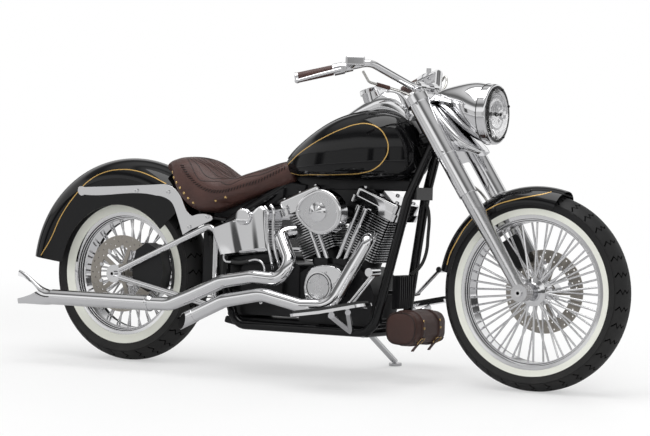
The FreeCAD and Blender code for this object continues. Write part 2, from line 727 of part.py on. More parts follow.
def grips(places):
    """Grips, and inboard of each a perch with its lever; the right one carries the fluid reservoir."""
    sleeves = []
    perches = []
    for name, end, inner in (("mirror_hole_right", places[0], places[1]),
                             ("mirror_hole_left", places[-1], places[-2])):
        along = (inner - end).normalize()
        grip_end = end + along * float(S.grip_length)
        sleeves.append(rod(end - along * 6, grip_end, S.grip_radius).cut(rod(end, grip_end + along, S.bar_radius)))
        level = Vector(along.x, along.y, 0).normalize()
        ahead = Vector(abs(along.y), abs(along.x) * sign(end.y), 0).normalize()
        perch = grip_end + along * 3
        pivot = perch + along * 34 + ahead * 30 - Vector(0, 0, 4)
        knee = end + along * 74 + ahead * 46 - Vector(0, 0, 8)
        tip = end - along * 4 + ahead * 40 - Vector(0, 0, 12)
        parts = [rod(perch, perch + along * 36, S.grip_radius + 3), rod(perch + along * 36, perch + along * 66, 18),
                 rod(perch + along * 40, pivot, 11), rod(pivot - Vector(0, 0, 9), pivot + Vector(0, 0, 9), 12),
                 rod(pivot, knee, 6.5), Part.makeSphere(6.5, knee), rod(knee, tip, 6.5, 5), Part.makeSphere(8, tip)]
        foot = perch + along * 52 + Vector(0, 0, 12)
        hole = (foot + Vector(0, 0, 22), Vector(0, 0, -1), S.mirror_hole_radius, 16)
        parts.append(rod(foot, hole[0], 9))
        if end.y < 0:
            cup = Part.makeBox(66, 40, 32, Vector(-33, -20, 0))
            cup = softened(cup, 6, lambda edge: True)
            corner = perch + along * 74 + ahead * 38 + Vector(0, 0, -2)
            cup.Placement = Placement(corner, Rotation(Vector(1, 0, 0), level))
            parts.append(cup)
            parts.append(rod(perch + along * 56, corner + Vector(0, 0, 12), 12))
        whole = joined(parts).cut(rod(hole[0] + Vector(0, 0, 1), hole[0] - Vector(0, 0, hole[3]), hole[2]))
        MIRROR_HOLES[name] = hole
        perches.append(largest(whole.cut(in_place("handlebar"))))
    keep_shape("grips", Part.makeCompound(sleeves))
    keep_shape("hand_controls", Part.makeCompound(perches))


def brake_line():
    """Hose from the right hand's cylinder, behind the clamps, to the caliper on the left leg."""
    top = on_fork(0, 0, S.fork_top + S.riser_height)
    route_places = [top + Vector(-106, -268, 44), top + Vector(-96, -240, 8), top + Vector(-44, -130, -14),
                    on_fork(S.hose_back, S.hose_side, S.fork_top + 34),
                    on_fork(S.hose_back, S.hose_side, S.cover_seam - 46),
                    on_fork(-34, 84, S.cover_seam - 130), on_fork(-34, 84, 300), on_fork(-34, 74, 222)]
    line = pipe(route_places, S.hose_radius, [22, 50, 45, 60, 60, 60])
    for label in ("hand_controls", "front_caliper"):
        line = line.cut(in_place(label))
    keep_shape("brake_line", largest(line))


def fender_shell(radius, half, inner, crown, start, end):
    """Thin shell turned about the axle through the angle that it covers, and the same shape filled."""
    wall = float(S.fender_wall)
    shoulder = float(radius) - float(crown)

    def edge(grow):
        spots = []
        for index in range(17):
            angle = math.pi * index / 16
            spots.append(Vector(shoulder + (float(crown) + grow) * math.sin(angle), 0,
                                (float(half) + grow) * math.cos(angle)))
        curve = Part.BSplineCurve()
        curve.interpolate(spots)
        return spots[0], spots[-1], curve.toShape()

    def turned(edges):
        face = Part.Face(Part.Wire(edges))
        face.rotate(Vector(), Vector(1, 0, 0), 90)
        face.rotate(Vector(), Vector(0, 1, 0), -float(start))
        return face.revolve(Vector(), Vector(0, 1, 0), -(float(end) - float(start)))

    out_a, out_b, out_curve = edge(0)
    in_a, in_b, in_curve = edge(-wall)
    low_out_a, low_out_b = Vector(float(inner), 0, out_a.z), Vector(float(inner), 0, out_b.z)
    low_in_a, low_in_b = Vector(float(inner), 0, in_a.z), Vector(float(inner), 0, in_b.z)
    shell = turned([
        Part.makeLine(low_out_a, out_a), out_curve, Part.makeLine(out_b, low_out_b),
        Part.makeLine(low_out_b, low_in_b), Part.makeLine(low_in_b, in_b), in_curve,
        Part.makeLine(in_a, low_in_a), Part.makeLine(low_in_a, low_out_a)])
    filled = turned([Part.makeLine(low_out_a, out_a), out_curve, Part.makeLine(out_b, low_out_b),
                     Part.makeLine(low_out_b, low_out_a)])
    return shell, filled


def fenders():
    """Both mudguards; the rear one goes on down ahead of the tyre as a narrower guard."""
    front, filled = fender_shell(S.front_fender_radius, S.front_fender_half, S.front_fender_inner,
                                 S.front_fender_crown, S.front_fender_start, S.front_fender_end)
    keep_shape("front_fender", front, FRONT_AXLE)
    rear, filled = fender_shell(S.rear_fender_radius, S.rear_fender_half, S.rear_fender_inner,
                                S.rear_fender_crown, S.rear_fender_start, S.rear_fender_end)
    guard_inner = S.rear_fender_radius - S.guard_crown - 6
    guard = fender_shell(S.rear_fender_radius, S.guard_half, guard_inner, S.guard_crown,
                         S.guard_start, S.rear_fender_start + 2)[0]
    keep_shape("rear_fender", joined([rear, guard]), REAR_AXLE)
    filled.Placement = REAR_AXLE
    axle = float(S.rear_tyre_radius)
    side = float(S.guard_half) + 1
    room = rod(Vector(0, -side, axle), Vector(0, side, axle), S.rear_fender_radius + 0.4)
    room = room.common(Part.makeBox(200, 2 * side, 330, Vector(299, -side, axle)))
    return [filled, room]


def front_brake():
    """Caliper on the left leg, over the disc, with its lug."""
    side = float(S.disc_side_front)
    inner = float(S.fork_half) - float(S.slider_radius) + 2
    body = Part.makeBox(84, inner - 42, 112, Vector(-60, 42, 112))
    body = softened(body, 12, lambda edge: abs(edge.Vertexes[0].Point.y - edge.Vertexes[-1].Point.y) > 1)
    window = rod(Vector(0, 0, 0), Vector(0, 200, 0), S.disc_radius + 3)
    gap = window.common(Part.makeBox(400, float(S.disc_width) + 6, 400, Vector(-200, side - 3, 0)))
    shape = body.cut(gap)
    shape.Placement = FORK
    keep_shape("front_caliper", shape.cut(in_place("fork_sliders")))


def rear_brake():
    """Caliper ahead of the axle, over the disc, held between the swingarm's right bars."""
    axle = float(S.rear_tyre_radius)
    side = -float(S.disc_side_rear)
    outer = -float(S.swing_half) + float(S.swing_tube) - 4
    outline = [(80, axle - 31), (150, axle - 63), (205, axle - 46), (218, axle + 19), (200, axle + 94),
               (140, axle + 124), (92, axle + 94), (75, axle + 29)]
    body = softened(slab(outline, outer, -58), 10, across)
    window = rod(Vector(0, -200, axle), Vector(0, 0, axle), S.disc_radius + 3)
    gap = window.common(Part.makeBox(400, float(S.disc_width) + 6, 700,
                                     Vector(-200, side - float(S.disc_width) - 3, 0)))
    keep_shape("rear_caliper", largest(body.cut([gap, in_place("swingarm")])))


def front_axle():
    half = float(S.fork_half + S.axle_lug_half)
    shaft = rod(Vector(0, -half - 8, 0), Vector(0, half + 8, 0), S.axle_radius)
    bored = shaft.cut(rod(Vector(0, -half - 9, 0), Vector(0, half + 9, 0), S.axle_bore_radius))
    keep_shape("front_axle", bored, FORK)


# Frame and swingarm

def frame():
    seam = float(S.cover_seam + S.lower_clamp_height + S.head_gap)
    stem = -float(S.fork_offset)
    head_low = on_fork(stem, 0, seam)
    head_high = on_fork(stem, 0, S.fork_top - S.upper_clamp_height - S.head_gap)
    middle = (head_low + head_high) * 0.5
    low = float(S.cradle_bottom)
    post = float(S.post_x)
    half = float(S.cradle_half)
    tubes = [rod(head_low, head_high, S.head_radius)]
    tubes.append(pipe([middle - Vector(5, 0, 10), (1000, 0, 800), (780, 0, 742), (620, 0, 648), (post, 0, 560)],
                      S.backbone_tube, [200, 200, 200]))
    for side in (-1, 1):
        y = half * side
        tubes.append(pipe([
            head_low + Vector(-24, 20 * side, 58), (1222, 66 * side, 650), (1126, y, low), (550, y, low),
            (post, y, 320), (post, y, 540), (640, 72 * side, 640), (716, 15 * side, 706)],
            S.frame_tube, [120, 70, 60, 60, 60, 60]))
        cheek = 84 * side
        lug = slab([(S.pivot_x, 300), (post, 290), (post, 352), (S.pivot_x, 340)], cheek - 6, cheek + 6)
        tubes.append(lug.fuse(rod((S.pivot_x, cheek - 6, 320), (S.pivot_x, cheek + 6, 320), 24)))
        tubes.append(rod((404, 103 * side, 557), (446, 103 * side, 556), S.rail_lug_radius))
        tubes.append(rod((440, 103 * side, 556), (post, 119 * side, 552), S.rail_lug_radius))
    for x, z, radius in ((post, 320, S.frame_tube), (post, 500, S.frame_tube), (1100, low, S.frame_tube),
                         (620, low, S.frame_tube), (1155, 315, 8), (1150, 215, 8)):
        reach = half - 12 if radius == 8 else half
        tubes.append(rod((x, -reach, z), (x, reach, z), radius))
    tubes.append(block((1214, -62, 646), (1254, 62, 690)))
    for side in (-1, 1):
        tubes.append(rod((1140, 70 * side, 215), (1170, 70 * side, 215), 7))
    whole = tubes[0]
    for tube in tubes[1:]:
        whole = whole.fuse(tube)
    whole = whole.cut(rod(on_fork(stem, 0, 0), on_fork(stem, 0, 900), S.stem_radius + S.fit_gap))
    whole = whole.cut(rod((S.pivot_x, -half, 320), (S.pivot_x, half, 320), S.swing_bar + S.fit_gap))
    return keep_shape("frame", whole).Shape


def swingarm():
    """Two trusses with axle plates, joined ahead of the tyre."""
    axle = float(S.rear_tyre_radius)
    front = float(S.pivot_x)
    half = float(S.swing_half)
    shapes = []
    for side in (-1, 1):
        y = half * side
        shapes.append(rod((0, y - 5, axle), (0, y + 5, axle), 34))
        shapes.append(pipe([(28, y, axle + 15), (front, y, 541), (front, y, 230), (28, y, axle - 13)],
                           S.swing_tube, [34, 34]))
    for z in (320, 500):
        shapes.append(rod((front, -half, z), (front, half, z), S.swing_bar))
    keep_shape("swingarm", joined(shapes).cut(rod((0, -200, axle), (0, 200, axle), S.axle_radius)))


def rear_axle():
    half = float(S.swing_half) + 5
    shaft = rod(Vector(0, -half - 12, 0), Vector(0, half + 12, 0), S.axle_radius)
    bored = shaft.cut(rod(Vector(0, -half - 13, 0), Vector(0, half + 13, 0), S.axle_bore_radius))
    keep_shape("rear_axle", bored, REAR_AXLE)


# Engine

def cylinder(label, at):
    """Core with square cooling fins in a row."""
    body = new_body(label)
    long, wide = S.fin_half_long, S.fin_half_wide
    foot = S.cylinder_foot
    pad_circle(body, "XY_Plane", (0, 0), S.bore_core_radius, S.fin_pitch * S.fin_count, foot)
    corner = 16
    fin = pad(body, "XY_Plane", [
        (-long + corner, -wide), (long - corner, -wide, corner), (long, -wide + corner), (long, wide - corner, corner),
        (long - corner, wide), (-long + corner, wide, corner), (-long, wide - corner),
        (-long, -wide + corner, corner)], S.fin_thick, foot + S.fin_pitch)
    row = body.newObject("PartDesign::LinearPattern", f"{label}_fins")
    row.Originals = [fin]
    row.Direction = (origin_feature(body, "Z_Axis"), [""])
    row.Length = float(S.fin_pitch * (S.fin_count - 2))
    row.setExpression("Length", (S.fin_pitch * (S.fin_count - 2)).text)
    row.Occurrences = round(S.fin_count) - 1
    row.setExpression("Occurrences", (S.fin_count - 1).text)
    body.Tip = row
    keep(label, body, at)


def rocker_cover(label, at):
    """Cover in two tiers, the upper one a little smaller."""
    foot = S.cylinder_foot + S.fin_pitch * S.fin_count
    body = new_body(label)
    soft = S.rocker_round

    def tier(inset, height, low):
        half = S.rocker_length / 2 - inset
        wide = S.rocker_half - inset
        pad(body, "XY_Plane", [
            (-half + soft, -wide), (half - soft, -wide, soft), (half, -wide + soft), (half, wide - soft, soft),
            (half - soft, wide), (-half + soft, wide, soft), (-half, wide - soft), (-half, -wide + soft, soft)],
            height, low)

    tier(0, S.rocker_height * 0.42, foot)
    tier(7, S.rocker_height * 0.58, foot + S.rocker_height * 0.42)
    top = float(foot + S.rocker_height)
    round_edges(body, soft * 0.7, lambda edge: all(abs(spot.Z - top) < 0.01 for spot in edge.Vertexes))
    keep(label, body, at)


CAM_OUTLINE = [(860, 300), (862, 350), (886, 392), (930, 407), (975, 407), (1012, 394), (1024, 358), (1010, 326),
               (992, 290), (940, 254), (884, 264)]


def crankcase():
    """Engine case with the necks under both cylinders and the cam chest on the right."""
    low = float(S.cradle_bottom + S.frame_tube) + 2
    half = float(S.case_half)
    outline = [(800, low), (1085, low), (1110, 300), (1080, 370), (1040, 398), (850, 398), (800, 370)]
    whole = softened(slab(outline, -half, S.primary_side), 14, across)
    for at in (FRONT_CYLINDER, REAR_CYLINDER):
        neck = rod(Vector(0, 0, 120), Vector(0, 0, S.cylinder_foot), 66)
        neck.Placement = at
        whole = whole.fuse(neck)
    chest_side = -half - float(S.cam_chest)
    chest = lobe(CAM_OUTLINE, chest_side, -half)
    shapes = [whole, chest]
    for sense in (-1, 1):
        low_x, high_x = sorted((945 + 12 * sense, 945 + 66 * sense))
        shapes.append(block((low_x, -half - 34, 380), (high_x, -half - 2, 428)))
    keep_shape("crankcase", joined(shapes))


def cam_cover():
    """Chrome cover over the cams, with a round plate at its middle."""
    near = -float(S.case_half + S.cam_chest)
    far = near - float(S.cam_cover_thick)
    middle = (926, 327)
    inner = [(middle[0] + (x - middle[0]) * 0.95, middle[1] + (z - middle[1]) * 0.95) for x, z in CAM_OUTLINE]
    cover = softened(lobe(inner, far, near), 7, outer_edges(far))
    disc_plate = rod((middle[0], far + 2, middle[1]), (middle[0], far - 6, middle[1]), S.cam_plate_radius)
    keep_shape("cam_cover", joined([cover, softened(disc_plate, 2, outer_edges(far - 6))]))


def gearbox():
    low = float(S.cradle_bottom + S.frame_tube) + 20
    half = float(S.gearbox_half)
    back = 800 - float(S.gearbox_length)
    case = slab([(back, low), (799.7, low), (799.7, 400), (back + 60, 420), (back, 380)], -half, S.pulley_side)
    case = softened(case, 16, across)
    side_cover = softened(slab([(back + 12, low + 40), (740, low + 40), (740, 372), (back + 12, 366)],
                               -half - 18, -half + 1), 14, across)
    pulley = rod((600, S.pulley_side - 1, 335), (600, S.primary_side, 335), S.front_pulley_radius - S.fit_gap)
    keep_shape("gearbox", joined([case, side_cover, pulley]))


def primary_cover():
    """Long rounded case on the left, over the crank's end and the clutch, with two round covers."""
    near = float(S.primary_side)
    outer = near + float(S.primary_width)
    front = point((S.crank_x, near, S.crank_z + 45))
    rear = point((S.primary_rear_x, near, S.crank_z + 65))
    a, b = float(S.primary_front_radius), float(S.primary_rear_radius)
    span = rear - front
    tilt = math.acos((a - b) / span.Length)
    heading = math.atan2(span.z, span.x)
    spots = []
    for sense in (1, -1):
        angle = heading + sense * tilt
        away = Vector(math.cos(angle), 0, math.sin(angle))
        spots.append((front + away * a, rear + away * b))
    front_far = front - span.normalize() * a
    rear_far = rear + (rear - front).normalize() * b
    wire = Part.Wire([
        Part.makeLine(spots[0][0], spots[0][1]), Part.Arc(spots[0][1], rear_far, spots[1][1]).toShape(),
        Part.makeLine(spots[1][1], spots[1][0]), Part.Arc(spots[1][0], front_far, spots[0][0]).toShape()])
    shape = Part.Face(wire).extrude(Vector(0, outer - near, 0))
    shape = softened(shape, 18, outer_edges(outer))
    covers = []
    for middle, radius in ((rear, S.derby_radius), (front, S.derby_radius * 0.72)):
        face = Vector(middle.x, outer, middle.z)
        covers.append(softened(rod(face - Vector(0, 2, 0), face + Vector(0, 6, 0), radius), 3, outer_edges(outer + 6)))
    keep_shape("primary_cover", joined([shape] + covers))


def pushrods():
    shapes = []
    side = -float(S.case_half) - 18
    top = float(S.cylinder_foot + S.fin_pitch * S.fin_count)
    for at, sense in ((FRONT_CYLINDER, 1), (REAR_CYLINDER, -1)):
        for inset in (16, 46):
            low = point((float(S.crank_x) + (66 - inset) * sense, side, 420))
            high = at.multVec(Vector(-inset * sense, 0, top))
            high.y = side
            shapes.append(rod(low, high, S.pushrod_radius).cut(in_place("crankcase")))
    keep_shape("pushrod_tubes", Part.makeCompound([largest(shape) for shape in shapes]))


def air_cleaner():
    """Drop-shaped cover with a raised rim and a domed centre, on an intake tube."""
    x, z = float(S.cleaner_x), float(S.cleaner_z)
    near = -float(S.cleaner_side)
    far = near - float(S.cleaner_width)
    shape = [(-92, 0), (-78, 36), (-34, 68), (4, 80), (50, 68), (82, 38), (94, 0), (84, -42), (48, -72), (8, -80),
             (-34, -66), (-76, -32)]
    outline = [(x + a, z + b) for a, b in shape]
    inner = [(x + a * 0.86, z + b * 0.86) for a, b in shape]
    cover = softened(lobe(outline, far, near), 8, outer_edges(far))
    cover = cover.cut(lobe(inner, far - 1, far + 4))
    middle = point((x, far, z))
    dome = Part.makeSphere(60, middle + Vector(0, 50, 0))
    dome = dome.common(rod(middle + Vector(0, 5, 0), middle - Vector(0, 30, 0), 34))
    keep_shape("air_cleaner", joined([cover, dome]))
    manifold = joined([rod((x, near, z), (x, -30, z), S.intake_radius),
                       rod((x - 62, 0, z - 20), (x + 28, 0, z - 20), 22),
                       rod((x, -34, z), (x - 12, 0, z - 20), 22)])
    keep_shape("intake", largest(manifold.cut([in_place("cylinder_front"), in_place("cylinder_rear")])))


def horn():
    """Round horn on the left, between the cylinders."""
    x, z = float(S.cleaner_x) - 17, float(S.cleaner_z) - 20
    bell = rod((x, 104, z), (x, 136, z), S.horn_radius)
    bell = softened(bell, 9, outer_edges(136))
    boss = rod((x, 134, z), (x, 142, z), 22)
    stem = rod((x, 0, z), (x, 106, z), 9)
    keep_shape("horn", largest(joined([bell, boss, stem]).cut(in_place("intake"))))


# Exhaust

def exhaust():
    side = -float(S.muffler_side)
    radius = float(S.muffler_radius)
    upper = pipe([(772, -79, 520), (728, -118, 508), (822, -192, 405), (790, -218, 345), (690, side, 352),
                  (560, side, 330), (440, side, 278), (335, side, 236), (250, side, 235)],
                 S.pipe_radius, [28, 50, 45, 60, 120, 120, 120])
    end = -205
    muffler = joined([upper, rod((282, side, 235), (246, side, 235), 16, radius),
                      rod((246, side, 235), (end, side, 235), radius)])
    tail_x = end - 15 - float(S.fishtail_length)
    tall = float(S.fishtail_height) / 2

    def tail(thin):
        rings = [section(end + 5 - thin, radius - 1 - thin, 236 - radius + thin, 234 + radius - thin, 235, 1.0),
                 section(-262, radius * 0.8 - thin, 236 - radius * 1.15 + thin, 240 + radius * 1.15 - thin, 240, 1.0),
                 section(-320, radius * 0.55 - thin, 255 - tall * 0.8 + thin, 255 + tall * 0.82 - thin, 255, 1.0),
                 section(tail_x - thin, radius * 0.42 - thin, 266 - tall + thin, 266 + tall - thin, 266, 1.0)]
        return loft(rings)

    flared = tail(0).cut(tail(2.5))
    notch = slab([(-262, 257), (-300, 284), (-340, 302), (-400, 316), (-400, 214), (-340, 228), (-300, 240)], -60, 60)
    flared = flared.cut(notch)
    flared.translate(Vector(0, side, 0))
    keep_shape("exhaust_rear", largest(joined([muffler, flared]).cut(in_place("cylinder_rear"))))
    side = -float(S.lower_pipe_side)
    lower = pipe([(1086, -79, 512), (1104, -134, 500), (1008, -226, 262), (900, side, 260), (740, side, 292),
                  (580, side, 262), (430, side, 192)], S.pipe_radius, [34, 70, 60, 120, 120, 120])
    mouth = rod((470, side, 210.7), (420, side, 187.3), S.pipe_radius - 3)
    keep_shape("exhaust_front", largest(lower.cut([mouth, in_place("cylinder_front")])))


# Tanks, seat and bags

def oil_tank(frame_shape):
    """Chrome tank around the seat post, with a round cap on the right."""
    half = float(S.oil_tank_half)
    tank = slab([(440, 520), (614, 586), (652, 612), (676, 596), (694, 442), (488, 415)], -half, half)
    tank = softened(tank, 14, lambda edge: True)
    cap = softened(rod((592, -half + 4, 566), (592, -half - 9, 566), 30), 4, outer_edges(-half - 9))
    tank = tank.fuse(cap).cut([frame_shape, in_place("swingarm"), in_place("rocker_cover_rear")])
    keep_shape("oil_tank", largest(tank))


def fuel_tank(frame_shape):
    """Rounded drop over the backbone, which runs in a tunnel below."""
    wide = float(S.tank_half)
    rows = [(698, 0.28, 738, 776, 758), (740, 0.52, 718, 820, 762), (820, 0.80, 711, 880, 768),
            (900, 0.95, 709, 925, 778), (1000, 1.0, 709, 956, 790), (1080, 1.0, 709, 966, 800),
            (1150, 0.92, 712, 956, 806), (1200, 0.72, 722, 924, 808), (1238, 0.42, 752, 870, 810)]
    drop = loft([section(x, wide * share, low, high, widest, 0.8, 0.62) for x, share, low, high, widest in rows])
    return keep_shape("fuel_tank", drop.cut(frame_shape)).Shape


def console(tank_shape):
    """Dash along the tank's top that rises to the speedometer cup."""
    half = float(S.console_half)
    rows = [(800, 0.35, 830, 872), (861, 0.62, 850, 903), (939, 0.9, 890, 950), (1000, 1.1, 920, 986),
            (1050, 1.22, 930, 1014), (1100, 1.2, 935, 1034), (1150, 1.0, 925, 1018), (1182, 0.8, 915, 978),
            (1196, 0.55, 910, 946)]
    base = loft([section(x, half * share, low, high, (low + high) / 2, 0.85) for x, share, low, high in rows])
    cup_low, cup_top = point((1064, 0, 940)), point((1039, 0, 1032))
    up = (cup_top - cup_low).normalize()
    cup = rod(cup_low, cup_top, S.speedo_radius * 0.8, S.speedo_radius)
    ring = rod(cup_top - up * 6, cup_top + up * 6, S.speedo_radius + 4)
    dial = rod(cup_top + up * 2, cup_top + up * 9, S.speedo_radius - 3)
    keep_shape("tank_console", largest(joined([base, cup, ring]).cut([dial, tank_shape])))


def seat(others):
    wide = float(S.seat_half)
    rows = [(240, 0.5, 716, 752, 734), (290, 0.85, 652, 776, 700), (350, 1.0, 575, 763, 655), (400, 1.0, 573, 733, 640),
            (466, 0.98, 595, 700, 645), (566, 0.88, 634, 724, 672), (640, 0.7, 662, 750, 704),
            (710, 0.52, 692, 778, 736), (740, 0.42, 704, 772, 740)]
    cushion = loft([section(x, wide * share, low, high, middle, 0.72) for x, share, low, high, middle in rows])
    for other in others:
        cushion = cushion.cut(other)
    keep_shape("seat", largest(cushion))


def struts():
    """Chrome plates on both sides of the rear fender, from the frame's rail to the tail."""
    half = float(S.rear_fender_half)
    runs = [[(-157, 657), (80, 669), (214, 677)],
            [(214, 677), (253, 666), (282, 644), (304, 606), (327, 571), (346, 562)],
            [(346, 562), (398, 571), (426, 566)],
            [(426, 566), (434, 553), (426, 545)],
            [(426, 545), (339, 509)],
            [(339, 509), (304, 488)],
            [(304, 488), (286, 534), (270, 573), (250, 608), (226, 623), (178, 632)],
            [(178, 632), (81, 639), (-37, 630), (-156, 627)],
            [(-156, 627), (-184, 632), (-188, 644), (-157, 657)]]
    strut = softened(plate(runs, -half - float(S.strut_thick), -half), 2,
                     outer_edges(-half - float(S.strut_thick)))
    keep_shape("fender_struts", both_sides(strut))


def tool_bag():
    """Loaf-shaped bag on the frame's front crossbar."""
    half = float(S.bag_length) / 2
    wide, tall = float(S.bag_width) / 2, float(S.bag_height) / 2
    x, z = station(S.bag_x), float(S.bag_z)
    loaf = Part.makeBox(2 * wide, 2 * half, 2 * tall, Vector(x - wide, -half, z - tall))
    loaf = softened(loaf, 34, across)
    keep_shape("tool_bag", softened(loaf, 12, lambda edge: not across(edge)).cut(in_place("frame")))


# Foot controls

def footboards(frame_shape):
    """Boards with rounded ends on brackets from the cradle, each with a rubber pad."""
    boards = []
    pads = []
    width = float(S.board_width) / 2

    def upright(edge):
        run = edge.Vertexes[-1].Point - edge.Vertexes[0].Point
        return abs(run.z) > 0.9 * run.Length > 0

    for side in (-1, 1):
        y = float(S.board_side) * side
        outline = [(925, 225), (1055, 244), (1222, 278), (1218, 288), (1052, 254), (923, 235)]
        board = softened(slab(outline, y - width, y + width), 28, upright)
        arms = [rod((1040, 122 * side, S.cradle_bottom), (1062, y * 0.93, 236), 12),
                rod((1040, 122 * side, S.cradle_bottom), (1128, y * 0.93, 250), 10)]
        boards.append(joined([board] + arms).cut(frame_shape))
        pad_outline = [(934, 236), (1052, 253.2), (1208, 285.4), (1206, 294), (1050, 262), (933, 244.5)]
        pads.append(softened(slab(pad_outline, y - width + 9, y + width - 9), 20, upright))
    both = Part.makeCompound(boards)
    keep_shape("footboards", both)
    keep_shape("footboard_pads", Part.makeCompound([one.cut(both) for one in pads]))
    return both


def pedals(frame_shape, boards):
    pedal = joined([rod((1104, -250, 276), (1202, -262, 384), 9), rod((1202, -300, 392), (1202, -238, 392), 15),
                    rod((1096, -126, 262), (1104, -256, 276), 9), Part.makeSphere(12, point((1104, -250, 276)))])
    keep_shape("brake_pedal", largest(pedal.cut([boards, frame_shape])))
    lever = joined([rod((1100, 262, 300), (1190, 262, 392), 7), rod((1190, 251, 392), (1190, 300, 392), 11),
                    rod((1100, 126, 290), (1100, 270, 300), 8)])
    keep_shape("shift_lever", largest(lever.cut(frame_shape)))


def belt():
    """Toothed belt loop from the gearbox pulley to the rear wheel's."""
    front = point((600, 0, 335))
    rear = Vector(0, 0, float(S.rear_tyre_radius))
    low = float(S.pulley_side) + 3
    span = front - rear

    def loop(a, b):
        tilt = math.acos((a - b) / span.Length)
        heading = math.atan2(span.z, span.x)
        spots = []
        for sense in (1, -1):
            angle = heading + sense * tilt
            away = Vector(math.cos(angle), 0, math.sin(angle))
            spots.append((rear + away * a, front + away * b))
        unit = Vector(span).normalize()
        wire = Part.Wire([
            Part.makeLine(spots[0][0], spots[0][1]), Part.Arc(spots[0][1], front + unit * b, spots[1][1]).toShape(),
            Part.makeLine(spots[1][1], spots[1][0]), Part.Arc(spots[1][0], rear - unit * a, spots[0][0]).toShape()])
        wire.translate(Vector(0, low, 0))
        return Part.Face(wire).extrude(Vector(0, float(S.belt_width), 0))

    inner = float(S.pulley_radius + S.fit_gap)
    thick = float(S.belt_thick)
    small = float(S.front_pulley_radius)
    keep_shape("drive_belt", loop(inner + thick, small + thick).cut(loop(inner, small)))


def regulator():
    """Finned box on the frame's front crossbar."""
    shapes = [block((1163, -52, 255), (1176, 52, 375))]
    for index in range(7):
        y = -48 + index * 15
        shapes.append(block((1175, y, 258), (1192, y + 5, 372)))
    keep_shape("regulator", joined(shapes).cut(in_place("frame")))


# Side stand

def stand_frame():
    """The stand's pivot and its foot with the stand out."""
    pivot = point((S.stand_x, S.stand_side, S.stand_z))
    foot_y = float(S.stand_foot_y)
    foot_z = foot_y * math.tan(math.radians(float(S.lean)))
    return pivot, point((S.stand_foot_x, foot_y, foot_z + float(S.stand_pad_height)))


STAND_FOLDED = Vector(-0.99, 0.06, 0.02)


def side_stand(frame_shape):
    pivot, foot = stand_frame()
    out = (foot - pivot).normalize()
    axis = out.cross(STAND_FOLDED).normalize()
    leg = rod(pivot, foot + Vector(0, 0, 6), S.stand_tube)
    boss = rod(pivot - axis * 14, pivot + axis * 14, S.stand_tube + 7)
    ground = Vector(0, -sine(S.lean), cosine(S.lean))
    pad_low = foot - ground * float(S.stand_pad_height)
    pad_disc = rod(pad_low, foot + ground * 2, S.stand_pad_radius)
    hole = rod(pivot - axis * 40, pivot + axis * 40, S.stand_pin_radius + S.fit_gap)
    keep_shape("side_stand", joined([leg, boss, pad_disc]).cut(hole))
    pin = rod(pivot - axis * 20, pivot + axis * 18, S.stand_pin_radius)
    reach = rod(pivot - axis * 28, point((S.stand_x - 20, S.cradle_half, S.cradle_bottom)), 12)
    low_cheek = rod(pivot - axis * 32, pivot - axis * (14 + float(S.fit_gap)), 18)
    keep_shape("stand_bracket", joined([pin, low_cheek, reach]).cut(frame_shape))
    return pivot, axis, out


front_wheel()
rear_wheel()
rear_fender_filled = fenders()
fork()
clamps()
headlight()
cowl()
grips(handlebar())
front_brake()
brake_line()
front_axle()
frame_shape = frame()
swingarm()
rear_brake()
rear_axle()
crankcase()
cylinder("cylinder_front", FRONT_CYLINDER)
cylinder("cylinder_rear", REAR_CYLINDER)
rocker_cover("rocker_cover_front", FRONT_CYLINDER)
rocker_cover("rocker_cover_rear", REAR_CYLINDER)
pushrods()
cam_cover()
gearbox()
primary_cover()
air_cleaner()
horn()
exhaust()
oil_tank(frame_shape)
tank_shape = fuel_tank(frame_shape)
console(tank_shape)
struts()
seat(rear_fender_filled + [frame_shape, tank_shape, in_place("fender_struts"), in_place("rocker_cover_rear"),
                           in_place("oil_tank")])
tool_bag()
pedals(frame_shape, footboards(frame_shape))
belt()
regulator()
stand_pivot, stand_axis, stand_out = side_stand(frame_shape)


def parked(shift):
    """Lean to the left about the tyres' contact line, then move the origin."""
    lean = Rotation(Vector(1, 0, 0), -float(S.lean))
    lift = float(S.rear_crown_radius) * (1 - cosine(S.lean))
    return Placement(Vector(0, 0, lift) - shift, lean)


def place_all(shift):
    for piece, at in pieces.values():
        piece.Placement = parked(shift) * at


place_all(Vector())
doc.recompute()
failed = [item.Name for item in doc.Objects if "Invalid" in item.State or "Error" in item.State]
if failed:
    raise RuntimeError(f"these did not compute: {failed}")
whole_box = FreeCAD.BoundBox()
for label, (piece, at) in pieces.items():
    if piece.Shape.isNull() or not piece.Shape.isValid():
        failed.append(label)
    whole_box.add(piece.Shape.optimalBoundingBox())
if failed:
    raise RuntimeError(f"these have no valid shape: {failed}")
ORIGIN = Vector(whole_box.Center.x, whole_box.Center.y, 0)
place_all(ORIGIN)
PARKED = parked(ORIGIN)

os.makedirs("parts", exist_ok=True)
for label, (piece, at) in pieces.items():
    piece.Shape.exportStep(f"parts/{label}.step")
print(len(pieces), "pieces, size", whole_box.XLength, whole_box.YLength, whole_box.ZLength)
print("origin", ORIGIN)
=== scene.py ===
# %% [markdown]
# # A cruiser motorcycle, dressed around its solid frame
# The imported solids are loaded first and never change. Everything after that is looks: paint, chrome,
# rubber and leather for the solids, and new pieces for what a solid can't show well, such as the
# padded seat, the tyre tread and the lens.

# %% Load the frame
import json
import math
import bmesh
import bpy
from mathutils import Matrix, Vector
from mathutils.bvhtree import BVHTree


